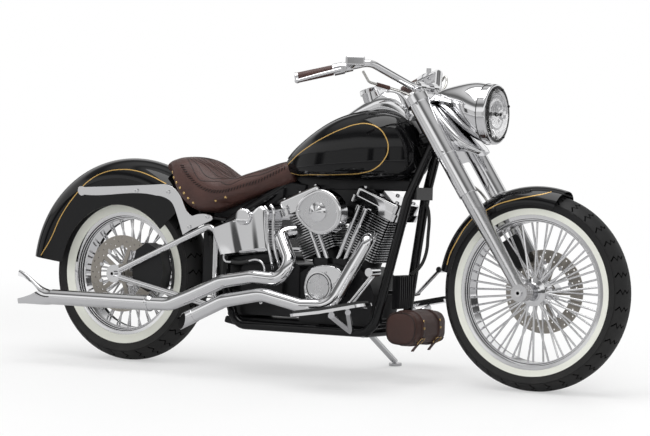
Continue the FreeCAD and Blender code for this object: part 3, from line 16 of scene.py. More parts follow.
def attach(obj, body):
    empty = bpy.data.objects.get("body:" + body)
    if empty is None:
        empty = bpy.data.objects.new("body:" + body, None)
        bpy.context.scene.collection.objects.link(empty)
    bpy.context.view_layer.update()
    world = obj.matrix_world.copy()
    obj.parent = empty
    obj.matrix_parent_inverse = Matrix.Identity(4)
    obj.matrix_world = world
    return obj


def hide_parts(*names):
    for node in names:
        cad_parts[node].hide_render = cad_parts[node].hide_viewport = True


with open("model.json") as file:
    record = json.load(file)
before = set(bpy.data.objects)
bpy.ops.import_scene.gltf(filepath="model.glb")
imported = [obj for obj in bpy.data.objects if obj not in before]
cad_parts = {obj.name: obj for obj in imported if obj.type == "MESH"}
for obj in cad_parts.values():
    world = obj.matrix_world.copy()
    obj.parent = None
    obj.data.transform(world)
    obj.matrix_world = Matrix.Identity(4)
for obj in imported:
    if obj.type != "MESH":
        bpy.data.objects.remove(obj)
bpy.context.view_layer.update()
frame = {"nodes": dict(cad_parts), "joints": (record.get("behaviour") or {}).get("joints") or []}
nodes = frame["nodes"]
bpy.ops.object.select_all(action="DESELECT")

# %% [markdown]
# The machine was drawn upright in millimetres, with X ahead of the rear axle, and then leaned over
# on its stand. One matrix takes such drawn places to the leaning machine, in metres. It is found from
# the rear wheel's joint, so it follows the frame.

# %% From drawn millimetres to the leaning machine
LEAN = math.radians(-4)
REAR_RADIUS = 331
WHEELBASE = 1700
FRONT_RADIUS = 341
RAKE = math.radians(33)
FRONT_AXLE, REAR_AXLE = (WHEELBASE, FRONT_RADIUS), (0, REAR_RADIUS)
joint_places = {joint["name"]: Vector(joint["pos_m"]) for joint in frame["joints"]}
tilt = Matrix.Rotation(LEAN, 4, "X")
rear_axle_drawn = Vector((0, 0, REAR_RADIUS / 1000))
MACHINE = Matrix.Translation(joint_places["rear_wheel_spin"] - tilt @ rear_axle_drawn) @ tilt
UPRIGHT = MACHINE.inverted()
FORK = (Matrix.Translation(Vector((WHEELBASE, 0, FRONT_RADIUS)) / 1000)
        @ Matrix.Rotation(-RAKE, 4, "Y"))


def drawn(x, y, z):
    """A drawn place in millimetres, as a point on the leaning machine in metres."""
    return MACHINE @ (Vector((x, y, z)) / 1000)


def on_fork(ahead, side, up):
    """A place in the fork's own frame in millimetres, as an upright drawn place."""
    return (FORK @ (Vector((ahead, side, up)) / 1000)) * 1000


print("front axle:", [round(v, 3) for v in drawn(WHEELBASE, 0, FRONT_RADIUS)])

# %% [markdown]
# The camera stands far off at the front right with a long lens, as the photographer did. Its heading,
# its slight roll and its place were worked out from the two wheels' outlines.

# %% Camera
CAMERA_YAW, CAMERA_PITCH, CAMERA_ROLL = (math.radians(a) for a in (30.2, 0.7, 1.7))
CAMERA_PLACE = (4766.4, -6734.8, 665.1)
FOCAL_PIXELS = 2134
FRAME_PIXELS = 650
SENSOR = 36
ahead = Vector((-math.sin(CAMERA_YAW) * math.cos(CAMERA_PITCH),
                math.cos(CAMERA_YAW) * math.cos(CAMERA_PITCH), -math.sin(CAMERA_PITCH)))
right = Vector((math.cos(CAMERA_YAW), math.sin(CAMERA_YAW), 0))
above = right.cross(ahead)
right_rolled = math.cos(CAMERA_ROLL) * right + math.sin(CAMERA_ROLL) * above
above_rolled = math.cos(CAMERA_ROLL) * above - math.sin(CAMERA_ROLL) * right
bpy.ops.object.camera_add()
camera = bpy.context.object
turned = Matrix((right_rolled, above_rolled, -ahead)).transposed().to_4x4()
camera.matrix_world = MACHINE @ Matrix.Translation(Vector(CAMERA_PLACE) / 1000) @ turned
camera.data.sensor_width = SENSOR
camera.data.lens = FOCAL_PIXELS / FRAME_PIXELS * SENSOR
camera.data.clip_end = 60
bpy.context.scene.camera = camera
print("camera at", [round(v, 2) for v in camera.location])

# %% [markdown]
# The room, the floor and every finish are graphs of nodes. These helpers keep the graphs short: one
# adds a node with its values, one does a sum, one stretches a range onto another and one mixes two
# shaders. Wherever a value goes, the output of another node may go too.

# %% Node helpers


def fed(tree, node, socket, value):
    """Give one input of a node an output to follow, or a plain value."""
    if isinstance(value, bpy.types.NodeSocket):
        tree.links.new(value, node.inputs[socket])
    else:
        node.inputs[socket].default_value = value


def added(tree, kind, operation=None, **values):
    """A new shader node with some of its inputs given."""
    node = tree.nodes.new(f"ShaderNode{kind}")
    if operation:
        node.operation = operation
    for label, value in values.items():
        fed(tree, node, label.replace("_", " "), value)
    return node


def maths(tree, operation, *values):
    """The result of one sum on outputs or plain numbers."""
    node = added(tree, "Math", operation)
    for index, value in enumerate(values):
        fed(tree, node, index, value)
    return node.outputs[0]


def ranged(tree, value, low, high, low_made=0.0, high_made=1.0):
    """A value stretched from one range onto another, and held inside it."""
    node = added(tree, "MapRange", Value=value, From_Min=low, From_Max=high, To_Min=low_made,
                 To_Max=high_made)
    return node.outputs["Result"]


def blended(tree, share, first, second):
    """Two shaders mixed by a share."""
    node = added(tree, "MixShader")
    for index, value in enumerate((share, first, second)):
        fed(tree, node, index, value)
    return node.outputs[0]


def places_of(tree):
    """The place on the object, in metres."""
    return added(tree, "TexCoord").outputs["Object"]


def noise_in(tree, scale, detail, roughness=0.5):
    """Cloudy noise over the object, from 0 to 1."""
    return added(tree, "TexNoise", Vector=places_of(tree), Scale=scale, Detail=detail,
                 Roughness=roughness).outputs["Fac"]


print("node helpers ready")

# %% [markdown]
# Chrome is only as good as the room around it. The room here is a white studio: a pale floor, a white
# world that the camera sees, and large soft lamps. The lamps stay moderate, so that a colour renders
# about as it is written.

# %% Room and lamps
SKY_LIGHT, SKY_SEEN = 0.55, 1.0
WHITE = (1, 1, 1, 1)
scene = bpy.context.scene
scene.view_settings.view_transform = "Standard"
scene.world = bpy.data.worlds.new("Studio")
scene.world.use_nodes = True
sky = scene.world.node_tree
sky.nodes.clear()
path = added(sky, "LightPath")
seen = maths(sky, "MAXIMUM", path.outputs["Is Camera Ray"], path.outputs["Is Glossy Ray"])
seen = maths(sky, "MAXIMUM", seen, path.outputs["Is Transmission Ray"])
lit = added(sky, "Background", Color=WHITE, Strength=SKY_LIGHT)
shown = added(sky, "Background", Color=WHITE, Strength=SKY_SEEN)
fed(sky, added(sky, "OutputWorld"), 0, blended(sky, seen, lit.outputs[0], shown.outputs[0]))

# each lamp's name, place, target, size in metres and power in watts
LAMPS = [("overhead", (0.2, -0.3, 4.2), (0, 0, 0.3), 3.2, 90),
         ("front_right", (3.4, -3.6, 2.6), (0.2, 0, 0.5), 2.2, 70),
         ("rear_right", (-3.6, -3.0, 2.4), (-0.2, 0, 0.5), 2.2, 50),
         ("left", (0.5, 4.2, 2.6), (0, 0, 0.5), 2.4, 60)]
for lamp_name, place, target, size, power in LAMPS:
    bpy.ops.object.light_add(type="AREA", location=place)
    lamp = bpy.context.object
    lamp.name = f"lamp_{lamp_name}"
    lamp.data.size = size
    lamp.data.energy = power
    lamp.visible_glossy = lamp_name == "overhead"
    lamp.rotation_euler = (Vector(target) - Vector(place)).to_track_quat("-Z", "Y").to_euler()

FLOOR_HALF = 30
bpy.ops.mesh.primitive_plane_add(size=2 * FLOOR_HALF, location=(0, 0, 0))
floor = bpy.context.object
floor.name = "studio_floor"
print("lamps:", len(LAMPS))

# %% [markdown]
# Polished metal looks like white plaster in an all-white room. A photographer therefore hangs dark
# cloths and a few bright boxes around it. Here a half sphere does that: only reflections see it, so it
# throws no shadow, lights nothing and hides nothing from any side. Its brightness goes by height in
# steps, and below a low line it also has upright light boxes.

# %% Dome of dark cloth and light boxes for the reflections
DOME_RADIUS, DOME_FOOT = 9, 0.02
# pairs of height, as a share of the radius, and brightness
DOME_STEPS = [(0.000, 1.00), (0.030, 0.90), (0.045, 0.05), (0.240, 0.08), (0.285, 0.95), (0.430, 1.00),
              (0.500, 0.80), (0.555, 0.20), (0.650, 0.13), (0.745, 0.52), (0.840, 0.74), (0.880, 0.28),
              (0.930, 0.92), (1.000, 1.00)]
BOX_COUNT, BOX_LEVEL, BOX_EDGE = 9, 0.62, -0.35
BOX_TOP, BOX_FADED = 0.25, 0.27
bpy.ops.mesh.primitive_uv_sphere_add(segments=48, ring_count=32, radius=DOME_RADIUS)
dome = bpy.context.object
dome.name = "studio_dome"
bpy.ops.object.mode_set(mode="EDIT")
bpy.ops.mesh.bisect(plane_co=(0, 0, DOME_FOOT), plane_no=(0, 0, 1), clear_inner=True)
bpy.ops.mesh.flip_normals()
bpy.ops.object.mode_set(mode="OBJECT")
dome.visible_camera = dome.visible_diffuse = dome.visible_shadow = dome.visible_transmission = False
cloth = bpy.data.materials.new("dome_cloth")
cloth.use_nodes = True
tree = cloth.node_tree
tree.nodes.clear()
unit = added(tree, "VectorMath", "NORMALIZE")
fed(tree, unit, 0, places_of(tree))
split = added(tree, "SeparateXYZ")
fed(tree, split, 0, unit.outputs[0])
steps = added(tree, "ValToRGB")
fed(tree, steps, 0, split.outputs["Z"])
while len(steps.color_ramp.elements) < len(DOME_STEPS):
    steps.color_ramp.elements.new(0.5)
for element, (height, level) in zip(steps.color_ramp.elements, DOME_STEPS):
    element.position = height
    element.color = (level, level, level, 1)
turn = maths(tree, "ARCTAN2", split.outputs["Y"], split.outputs["X"])
wave = maths(tree, "COSINE", maths(tree, "MULTIPLY", turn, BOX_COUNT))
boxes = ranged(tree, wave, -1.0, BOX_EDGE)
low_band = ranged(tree, split.outputs["Z"], BOX_FADED, BOX_TOP, 0, BOX_LEVEL)
level = maths(tree, "MAXIMUM", steps.outputs[0], maths(tree, "MULTIPLY", boxes, low_band))
glow = added(tree, "Emission", Color=level)
fed(tree, added(tree, "OutputMaterial"), "Surface", glow.outputs[0])
dome.data.materials.append(cloth)
print("dome faces:", len(dome.data.polygons))

# %% [markdown]
# A finish is more than a colour. These small node groups hold what several finishes share: a grain
# that raises the surface, soft smudges that make a polish uneven, road dust that gathers low on the
# machine, and the fine rings of a turned face. Each material puts a group in with its own values.

# %% Shared effects


def new_group(name, inputs, outputs):
    group = bpy.data.node_groups.new(name, "ShaderNodeTree")
    for label, value in inputs:
        socket = group.interface.new_socket(label, in_out="INPUT", socket_type="NodeSocketFloat")
        socket.default_value = value
    for label in outputs:
        group.interface.new_socket(label, in_out="OUTPUT", socket_type="NodeSocketFloat")
    return group, group.nodes.new("NodeGroupInput").outputs, group.nodes.new("NodeGroupOutput")


def smudge_group():
    """Soft uneven patches between two values on a polished surface."""
    group, given, made = new_group("Smudges", [("Scale", 9.0), ("Low", 0.05), ("High", 0.16)], ["Roughness"])
    patches = noise_in(group, given["Scale"], 5, 0.6)
    fed(group, made, "Roughness", ranged(group, patches, 0.35, 0.7, given["Low"], given["High"]))
    return group


def grain_group():
    """Leather grain: a height of pebbles between fine creases, and a mottle of broad folds."""
    group, given, made = new_group("Leather grain", [("Scale", 420.0)], ["Height", "Mottle"])
    cells = added(group, "TexVoronoi", Vector=places_of(group), Scale=given["Scale"])
    cells.feature = "DISTANCE_TO_EDGE"
    pebbles = ranged(group, cells.outputs["Distance"], 0, 0.22)
    folds = noise_in(group, 14, 6)
    fed(group, made, "Height", maths(group, "MULTIPLY_ADD", pebbles, 0.6, folds))
    fed(group, made, "Mottle", folds)
    return group


def dust_group():
    """Road dust: a mask that is strongest near the ground and broken up by noise."""
    group, given, made = new_group("Road dust", [("Reach", 0.5), ("Strength", 0.3)], ["Dust"])
    split = added(group, "SeparateXYZ")
    fed(group, split, 0, places_of(group))
    fall = ranged(group, split.outputs["Z"], 0, given["Reach"], 1, 0)
    broken = maths(group, "MULTIPLY", fall, noise_in(group, 26, 8))
    fed(group, made, "Dust", maths(group, "MULTIPLY", broken, given["Strength"]))
    return group


def brush_group():
    """Fine rings of brushing around an axis along Y through the given point."""
    inputs = [("Centre X", 0.0), ("Centre Z", 0.0), ("Scale", 900.0)]
    group, given, made = new_group("Turned brushing", inputs, ["Height"])
    split = added(group, "SeparateXYZ")
    fed(group, split, 0, places_of(group))
    squares = []
    for axis in ("X", "Z"):
        gap = maths(group, "SUBTRACT", split.outputs[axis], given[f"Centre {axis}"])
        squares.append(maths(group, "MULTIPLY", gap, gap))
    rings = added(group, "TexNoise")
    rings.noise_dimensions = "1D"
    fed(group, rings, "W", maths(group, "SQRT", maths(group, "ADD", *squares)))
    fed(group, rings, "Scale", given["Scale"])
    fed(group, rings, "Detail", 3)
    fed(group, made, "Height", rings.outputs["Fac"])
    return group


SMUDGES = smudge_group()
GRAIN = grain_group()
DUST = dust_group()
BRUSH = brush_group()
print("shared effects:", [g.name for g in bpy.data.node_groups])

# %% [markdown]
# Each material starts from the Principled BSDF. The values that are the same all over go straight on
# its sockets, and the shared effects feed the ones that vary: roughness, the bump and the colour.

# %% Material helpers


def shader_of(material):
    return material.node_tree.nodes["Principled BSDF"]


def principled(name, colour, metallic=0.0, roughness=0.4, **more):
    material = bpy.data.materials.new(name)
    material.use_nodes = True
    values = {"Base_Color": (*colour, 1), "Metallic": metallic, "Roughness": roughness, **more}
    for label, value in values.items():
        shader_of(material).inputs[label.replace("_", " ")].default_value = value
    return material


def placed(material, group, **values):
    """Put a shared effect into a material with its own values."""
    node = added(material.node_tree, "Group")
    node.node_tree = group
    for label, value in values.items():
        node.inputs[label.replace("_", " ")].default_value = value
    return node


def smudged(material, low, high, scale=9.0):
    node = placed(material, SMUDGES, Low=low, High=high, Scale=scale)
    fed(material.node_tree, shader_of(material), "Roughness", node.outputs["Roughness"])
    return material


def raised(material, height, strength, distance=0.001):
    bump = added(material.node_tree, "Bump", Strength=strength, Distance=distance, Height=height)
    fed(material.node_tree, shader_of(material), "Normal", bump.outputs["Normal"])
    return material


def tinted(material, mask, first, second):
    """Mix two colours by a mask into the base colour."""
    mix = added(material.node_tree, "Mix")
    mix.data_type = "RGBA"
    for index, value in ((0, mask), (6, (*first, 1)), (7, (*second, 1))):
        fed(material.node_tree, mix, index, value)
    fed(material.node_tree, shader_of(material), "Base Color", mix.outputs[2])
    return material


def noise_of(material, scale, detail=4.0):
    return noise_in(material.node_tree, scale, detail)


print("material helpers ready")

# %% [markdown]
# Chrome reflects nearly everything, so its base is bright and metallic with a low roughness that
# changes softly. Black enamel is a dark base under a clear coat. Rubber is rough and nearly black,
# and the leather is brown with a pebbled grain.

# %% Finishes
CHROME_LOW, CHROME_HIGH = 0.045, 0.11
TYRE_BLACK, TYRE_DUST = (0.011, 0.011, 0.0115), (0.10, 0.095, 0.085)
chrome = smudged(principled("chrome", (0.80, 0.80, 0.81), 1.0), CHROME_LOW, CHROME_HIGH)
satin_chrome = smudged(principled("satin_chrome", (0.72, 0.72, 0.73), 1.0), 0.16, 0.26, 14)
black_enamel = principled("black_enamel", (0.004, 0.004, 0.0045), 0, 0.25, Coat_Weight=0.68,
                          Coat_Roughness=0.03, Specular_IOR_Level=0.0)
raised(black_enamel, noise_of(black_enamel, 160, 2), 0.02, 0.0003)
black_satin = principled("black_satin", (0.008, 0.008, 0.009), Specular_IOR_Level=0.3)
smudged(black_satin, 0.32, 0.45, 20)
raised(black_satin, noise_of(black_satin, 900, 2), 0.15, 0.0003)
bare_steel = smudged(principled("bare_steel", (0.42, 0.39, 0.35), 1.0), 0.28, 0.4, 30)
tyre_rubber = smudged(principled("tyre_rubber", TYRE_BLACK, Specular_IOR_Level=0.3), 0.5, 0.66, 18)
rubber_dust = placed(tyre_rubber, DUST, Reach=0.7, Strength=0.16)
tinted(tyre_rubber, rubber_dust.outputs["Dust"], TYRE_BLACK, TYRE_DUST)
# Near-black rubber for the tyre crown under the tread: painted shade at the bottom of the grooves.
groove_painted_shade = principled("groove_painted_shade", (0.002, 0.002, 0.002), 0, 0.9, Specular_IOR_Level=0.05)
raised(groove_painted_shade, noise_of(groove_painted_shade, 500), 0.2, 0.0004)
white_rubber = smudged(principled("white_rubber", (0.72, 0.73, 0.66)), 0.5, 0.62, 16)
white_dust = placed(white_rubber, DUST, Reach=0.8, Strength=0.2)
tinted(white_rubber, white_dust.outputs["Dust"], (0.74, 0.75, 0.68), (0.5, 0.47, 0.4))
black_rubber = smudged(principled("black_rubber", (0.02, 0.02, 0.02)), 0.5, 0.68, 25)
gold_line = smudged(principled("gold_line", (0.52, 0.33, 0.10), 0.35), 0.28, 0.42, 40)


def leather(name, light, dark, scale=420.0):
    material = principled(name, light, 0, 0.5)
    grain = placed(material, GRAIN, Scale=scale)
    tinted(material, grain.outputs["Mottle"], dark, light)
    raised(material, grain.outputs["Height"], 0.35, 0.0008)
    return material


brown_leather = leather("brown_leather", (0.082, 0.033, 0.025), (0.030, 0.012, 0.010))
dark_leather = leather("dark_leather", (0.066, 0.027, 0.020), (0.024, 0.010, 0.008))
glass = principled("clear_glass", (1, 1, 1), 0, 0.02, Transmission_Weight=1.0, IOR=1.45)


def brushed(name, x, z):
    place = drawn(x, 0, z)
    material = smudged(principled(name, (0.66, 0.66, 0.67), 1.0), 0.24, 0.34, 12)
    rings = placed(material, BRUSH, Centre_X=place.x, Centre_Z=place.z)
    return raised(material, rings.outputs["Height"], 0.12, 0.0004)


red_paint = smudged(principled("red_needle", (0.50, 0.02, 0.015)), 0.3, 0.4, 60)
bright_edge = smudged(principled("bright_edge", (0.62, 0.62, 0.63), 1.0), 0.2, 0.34, 30)
soot = principled("soot", (0.006, 0.006, 0.006), 0, 0.9)
raised(soot, noise_of(soot, 300), 0.3, 0.0005)
braided_steel = smudged(principled("braided_steel", (0.62, 0.61, 0.58), 1.0), 0.25, 0.4, 60)
raised(braided_steel, noise_of(braided_steel, 1400, 1), 0.5, 0.0006)
ivory = smudged(principled("ivory_dial", (0.72, 0.70, 0.62)), 0.35, 0.45, 40)

floor_white = principled("floor_white", (0.86, 0.86, 0.86), 0, 0.6)
raised(floor_white, noise_of(floor_white, 3, 2), 0.02, 0.01)
floor.data.materials.append(floor_white)
print("finishes:", len(bpy.data.materials))

# %% [markdown]
# The floor must look white without more light on the machine: rays from the camera see it as a white
# glow mixed over its shaded colour, so the shadow still shows. Reflections see it darker, which gives
# polished pipes their grey undersides.

# %% White floor that keeps its shadow
SHADOW_REACH, WHITE_FROM = 1.2, 4.0
GLOW_NEAR = 0.45
REFLECTED_GREY, REFLECTED_SHARE = (0.22, 0.22, 0.23, 1), 0.55
tree = floor_white.node_tree
path = added(tree, "LightPath")
reach = added(tree, "VectorMath", "LENGTH")
fed(tree, reach, 0, places_of(tree))
far = added(tree, "MapRange", Value=reach.outputs["Value"], From_Min=SHADOW_REACH, From_Max=WHITE_FROM,
            To_Min=GLOW_NEAR, To_Max=1.0)
far.interpolation_type = "SMOOTHSTEP"
share = maths(tree, "MULTIPLY", path.outputs["Is Camera Ray"], far.outputs["Result"])
glow = added(tree, "Emission", Strength=1.0)
white_floor = blended(tree, share, shader_of(floor_white).outputs[0], glow.outputs[0])
dimmed = added(tree, "Emission", Color=REFLECTED_GREY)
reflected = maths(tree, "MULTIPLY", path.outputs["Is Glossy Ray"], REFLECTED_SHARE)
fed(tree, tree.nodes["Material Output"], "Surface", blended(tree, reflected, white_floor, dimmed.outputs[0]))
print("floor nodes:", len(tree.nodes))

# %% [markdown]
# The solids keep their shapes and get the finishes. Names that stand for several nodes are matched by
# their beginning.

# %% Finishes on the solids
FINISH_OF = {
    black_enamel: ["frame", "fuel_tank", "front_fender", "rear_fender", "horn"],
    black_satin: ["crankcase", "gearbox", "cylinder", "regulator", "intake", "front_caliper", "rear_caliper"],
    satin_chrome: ["fork_sliders"],
    bare_steel: ["front_disc", "rear_disc"],
    tyre_rubber: ["front_tyre", "rear_tyre"],
    white_rubber: ["front_whitewalls", "rear_whitewalls"],
    black_rubber: ["footboard_pads", "drive_belt"],
    braided_steel: ["brake_line"],
    brown_leather: ["seat", "grips", "tool_bag"],
}
for name, node in nodes.items():
    chosen = next((material for material, starts in FINISH_OF.items()
                   if any(name.startswith(start) for start in starts)), chrome)
    node.data.materials.clear()
    node.data.materials.append(chosen)
print("solids finished:", len(nodes))

# %% [markdown]
# Some solids carry two finishes: the turned face of the air cleaner is brushed inside a polished rim,
# and the black cylinders had their fin edges machined bright. A tyre's crown under the tread gets
# near-black rubber, which paints the shade at the bottom of its grooves. A second material slot takes the
# faces that pass a test on their place and heading. The shapes stay as they are.

# %% Second finishes on parts of solids


def faced(node, material, test):
    """Give a second finish to the faces of a solid that pass a test in drawn millimetres."""
    mesh = nodes[node].data
    mesh.materials.append(material)
    turn_back = UPRIGHT.to_3x3()
    count = 0
    for face in mesh.polygons:
        if test(UPRIGHT @ face.center * 1000, turn_back @ face.normal):
            face.material_index = len(mesh.materials) - 1
            count += 1
    print(node, material.name, count)


def around_y(x, z, place):
    return math.hypot(place.x - x, place.z - z)


AIR_X, AIR_Z = 964, 594
CAM_X, CAM_Z, CAM_PLATE = 926, 327, 47.5
CRANK = Vector((945, 0, 255))
CYLINDER_LEAN = math.radians(22.5)
FIN_FOOT, FIN_TOP, CORE_RADIUS = 195, 380, 56
FRONT_CROWN, REAR_CROWN = 22, 28
brushed_air = brushed("brushed_air_cleaner", AIR_X, AIR_Z)
brushed_cam = brushed("brushed_cam_plate", CAM_X, CAM_Z)
faced("air_cleaner", brushed_air, lambda p, n: n.y < -0.9 and -255 < p.y < -251.5)
faced("cam_cover", brushed_cam, lambda p, n: n.y < -0.9 and around_y(CAM_X, CAM_Z, p) < CAM_PLATE)
for name, sense in (("cylinder_front", 1), ("cylinder_rear", -1)):
    bore = Vector((math.sin(CYLINDER_LEAN) * sense, 0, math.cos(CYLINDER_LEAN)))

    def fin_edge(place, normal, bore=bore):
        arm = place - CRANK
        height = arm.dot(bore)
        reach = (arm - bore * height).length
        return abs(normal.dot(bore)) < 0.3 and reach > CORE_RADIUS + 4 and FIN_FOOT < height < FIN_TOP

    faced(name, bright_edge, fin_edge)

# The crown under the tread takes the near-black rubber, as painted shade in the grooves.
faced("front_tyre", groove_painted_shade,
      lambda p, n: around_y(WHEELBASE, FRONT_RADIUS, p) > FRONT_RADIUS - FRONT_CROWN)
faced("rear_tyre", groove_painted_shade, lambda p, n: around_y(0, REAR_RADIUS, p) > REAR_RADIUS - REAR_CROWN)

# %% [markdown]
# The pieces below are modelled one after another. These helpers do what every piece needs at its end:
# its place goes into its mesh, it gets its finish, and it rides on a body of the machine. Others run
# one edit on a whole mesh, apply a modifier, or join parts.

# %% Helpers for finishing pieces


def fresh():
    """Leave edit mode and select nothing."""
    if bpy.context.object and bpy.context.object.mode != "OBJECT":
        bpy.ops.object.mode_set(mode="OBJECT")
    bpy.ops.object.select_all(action="DESELECT")


def alone(piece):
    fresh()
    piece.select_set(True)
    bpy.context.view_layer.objects.active = piece


def done(piece, name, material, body, angle=35):
    """Finish a piece: name, place, shading, material and body."""
    alone(piece)
    piece.name = name
    bpy.ops.object.transform_apply(location=True, rotation=True, scale=True)
    bpy.ops.object.shade_smooth_by_angle(angle=math.radians(angle))
    piece.data.materials.clear()
    piece.data.materials.append(material)
    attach(piece, body)
    print(name, "faces:", len(piece.data.polygons))
    return piece


def put(piece, matrix, name, material, body, angle=35):
    """Stand a modelled piece at its place and finish it."""
    piece.matrix_world = matrix
    return done(piece, name, material, body, angle)


def joined(parts):
    """Join parts into one piece, with their places in its mesh."""
    fresh()
    for part in parts:
        part.select_set(True)
    bpy.context.view_layer.objects.active = parts[0]
    bpy.ops.object.transform_apply(location=True, rotation=True, scale=True)
    bpy.ops.object.join()
    return bpy.context.object


def removed(*models):
    """Delete models that were only there to be copied."""
    for model in models:
        bpy.data.objects.remove(model)


OUTWARDS = (bpy.ops.mesh.normals_make_consistent, {"inside": False})
FLIPPED = (bpy.ops.mesh.flip_normals, {})


def merging(distance):
    return bpy.ops.mesh.remove_doubles, {"threshold": distance}


def on_whole(piece, *steps):
    """Run edit-mode operators, each given with its options, on all of a piece's mesh."""
    alone(piece)
    bpy.ops.object.mode_set(mode="EDIT")
    bpy.ops.mesh.select_all(action="SELECT")
    for operator, options in steps:
        operator(**options)
    bpy.ops.object.mode_set(mode="OBJECT")
    return piece


def modified(piece, kind, **settings):
    """Give a piece one modifier and apply it."""
    alone(piece)
    modifier = piece.modifiers.new(kind.lower(), kind)
    for setting, value in settings.items():
        setattr(modifier, setting, value)
    bpy.ops.object.modifier_apply(modifier=modifier.name)
    return piece


def merged_copy(node, name):
    """A copy of a solid's loose triangles, merged into one mesh."""
    piece = nodes[node].copy()
    piece.data = nodes[node].data.copy()
    for key in list(piece.keys()):
        del piece[key]
    piece.parent = None
    piece.name = name
    bpy.context.collection.objects.link(piece)
    return on_whole(piece, merging(0.00005), OUTWARDS)


def standing(place, outward, along=(0, 0, 1)):
    """A matrix at a drawn place in millimetres: Z looks outward and X lies along the given way."""
    up = Vector(outward).normalized()
    side = Vector(along) - Vector(along).dot(up) * up
    if side.length < 1e-4:
        side = up.orthogonal()
    side.normalize()
    turned = Matrix((side, up.cross(side), up)).transposed().to_4x4()
    return MACHINE @ Matrix.Translation(Vector(place) / 1000) @ turned


def copies(model, places, name, material, body, angle=35):
    """Copy a model to each matrix, each copy with its own mesh, and join them into one piece."""
    made = []
    for matrix in places:
        copy = model.copy()
        copy.data = model.data.copy()
        copy.matrix_world = matrix
        bpy.context.collection.objects.link(copy)
        made.append(copy)
    return done(joined(made), name, material, body, angle)


print("finishing helpers ready")

# %% [markdown]
# Stripes, straps, stitches and hoses all follow lines. A line is a smooth curve through a few drawn
# places, or it is found by dropping such places onto a surface. A tube thickens a curve, and a ribbon
# is a thin flat band whose rows of corners follow the surface.

# %% Helpers for lines, tubes and ribbons
TUBE_STEPS = 8


def curve_through(name, places, cyclic, steps):
    """A smooth curve object through places in metres."""
    data = bpy.data.curves.new(name, "CURVE")
    data.dimensions = "3D"
    spline = data.splines.new("BEZIER")
    spline.bezier_points.add(len(places) - 1)
    for point, place in zip(spline.bezier_points, places):
        point.co = place
        point.handle_left_type = point.handle_right_type = "AUTO"
    spline.use_cyclic_u = cyclic
    spline.resolution_u = steps
    curve = bpy.data.objects.new(name, data)
    bpy.context.collection.objects.link(curve)
    return curve


def flowing(places, cyclic=False, steps=6):
    """Points on one smooth line through the given places."""
    curve = curve_through("line", places, cyclic, steps)
    data = curve.data
    mesh = bpy.data.meshes.new_from_object(curve.evaluated_get(bpy.context.evaluated_depsgraph_get()))
    line = [v.co.copy() for v in mesh.vertices]
    bpy.data.objects.remove(curve)
    bpy.data.meshes.remove(mesh)
    bpy.data.curves.remove(data)
    return line


def evenly(line, pitch):
    """Places at one pitch along a line, each with the line's heading there."""
    total = sum((q - p).length for p, q in zip(line, line[1:]))
    step = total / max(2, round(total / pitch))
    found, walked, goal = [], 0.0, step / 2
    for p, q in zip(line, line[1:]):
        length = (q - p).length
        while length > 0 and goal <= walked + length:
            found.append((p + (q - p) * ((goal - walked) / length), (q - p).normalized()))
            goal += step
        walked += length
    return found


def tube(name, places, radius, material, body):
    """A round pipe or hose through drawn places in millimetres."""
    bar = curve_through(name, [drawn(*place) for place in places], False, TUBE_STEPS)
    bar.data.bevel_depth = radius / 1000
    bar.data.bevel_resolution = 3
    bar.data.use_fill_caps = True
    alone(bar)
    bpy.ops.object.convert(target="MESH")
    return done(on_whole(bpy.context.object, merging(0.00002), OUTWARDS), name, material, body, 50)


def built(shape, name):
    """An object from corners and faces, all turned the same way."""
    bmesh.ops.recalc_face_normals(shape, faces=shape.faces)
    mesh = bpy.data.meshes.new(name)
    shape.to_mesh(mesh)
    shape.free()
    piece = bpy.data.objects.new(name, mesh)
    bpy.context.collection.objects.link(piece)
    return piece


def ribbon(name, centres, outwards, width, height, material, body, slot, cyclic=False, sunk=0.6):
    """A thin flat band that lies on a surface, from drawn points in metres and outward directions."""
    count = len(centres)
    shape = bmesh.new()
    rows = []
    for index, (centre, outward) in enumerate(zip(centres, outwards)):
        before = centres[index - 1] if index or cyclic else centre
        after = centres[(index + 1) % count] if index < count - 1 or cyclic else centre
        side = outward.cross(after - before).normalized()
        low, high = centre - outward * sunk / 1000, centre + outward * height / 1000
        half = side * width / 2000
        rows.append([shape.verts.new(MACHINE @ v) for v in
                     (low - half, high - half * 0.8, high + half * 0.8, low + half)])
    for index in range(count if cyclic else count - 1):
        here, there = rows[index], rows[(index + 1) % count]
        for k in range(4):
            shape.faces.new((here[k], here[(k + 1) % 4], there[(k + 1) % 4], there[k]))
    if not cyclic:
        shape.faces.new(rows[0])
        shape.faces.new(reversed(rows[-1]))
    return done(built(shape, name), name, material, body, 60)


def surface_of(piece):
    """A search tree over a piece's faces in drawn metres."""
    return BVHTree.FromPolygons([UPRIGHT @ v.co for v in piece.data.vertices],
                                [tuple(face.vertices) for face in piece.data.polygons])


def hits(tree, rays):
    """Where rays, as pairs of start and way, meet a surface, and the outward directions there."""
    points, outwards = [], []
    for start, way in rays:
        hit, outward, _face, _distance = tree.ray_cast(start, way)
        if hit is not None:
            points.append(hit)
            outwards.append(outward)
    return points, outwards


def cast(tree, places, way):
    """Move drawn places in metres along a way until they meet a surface."""
    return hits(tree, [(Vector(place) - Vector(way) * 0.5, Vector(way)) for place in places])


print("line helpers ready")

# %% [markdown]
# Gold pinstripes follow the edges of the fenders and make a teardrop on each side of the tank. A sign
# painter pulls them with a long brush, about 4 mm wide. Each is a thin ribbon that is dropped onto the
# painted solid from the side, so it follows the curve of the metal exactly.

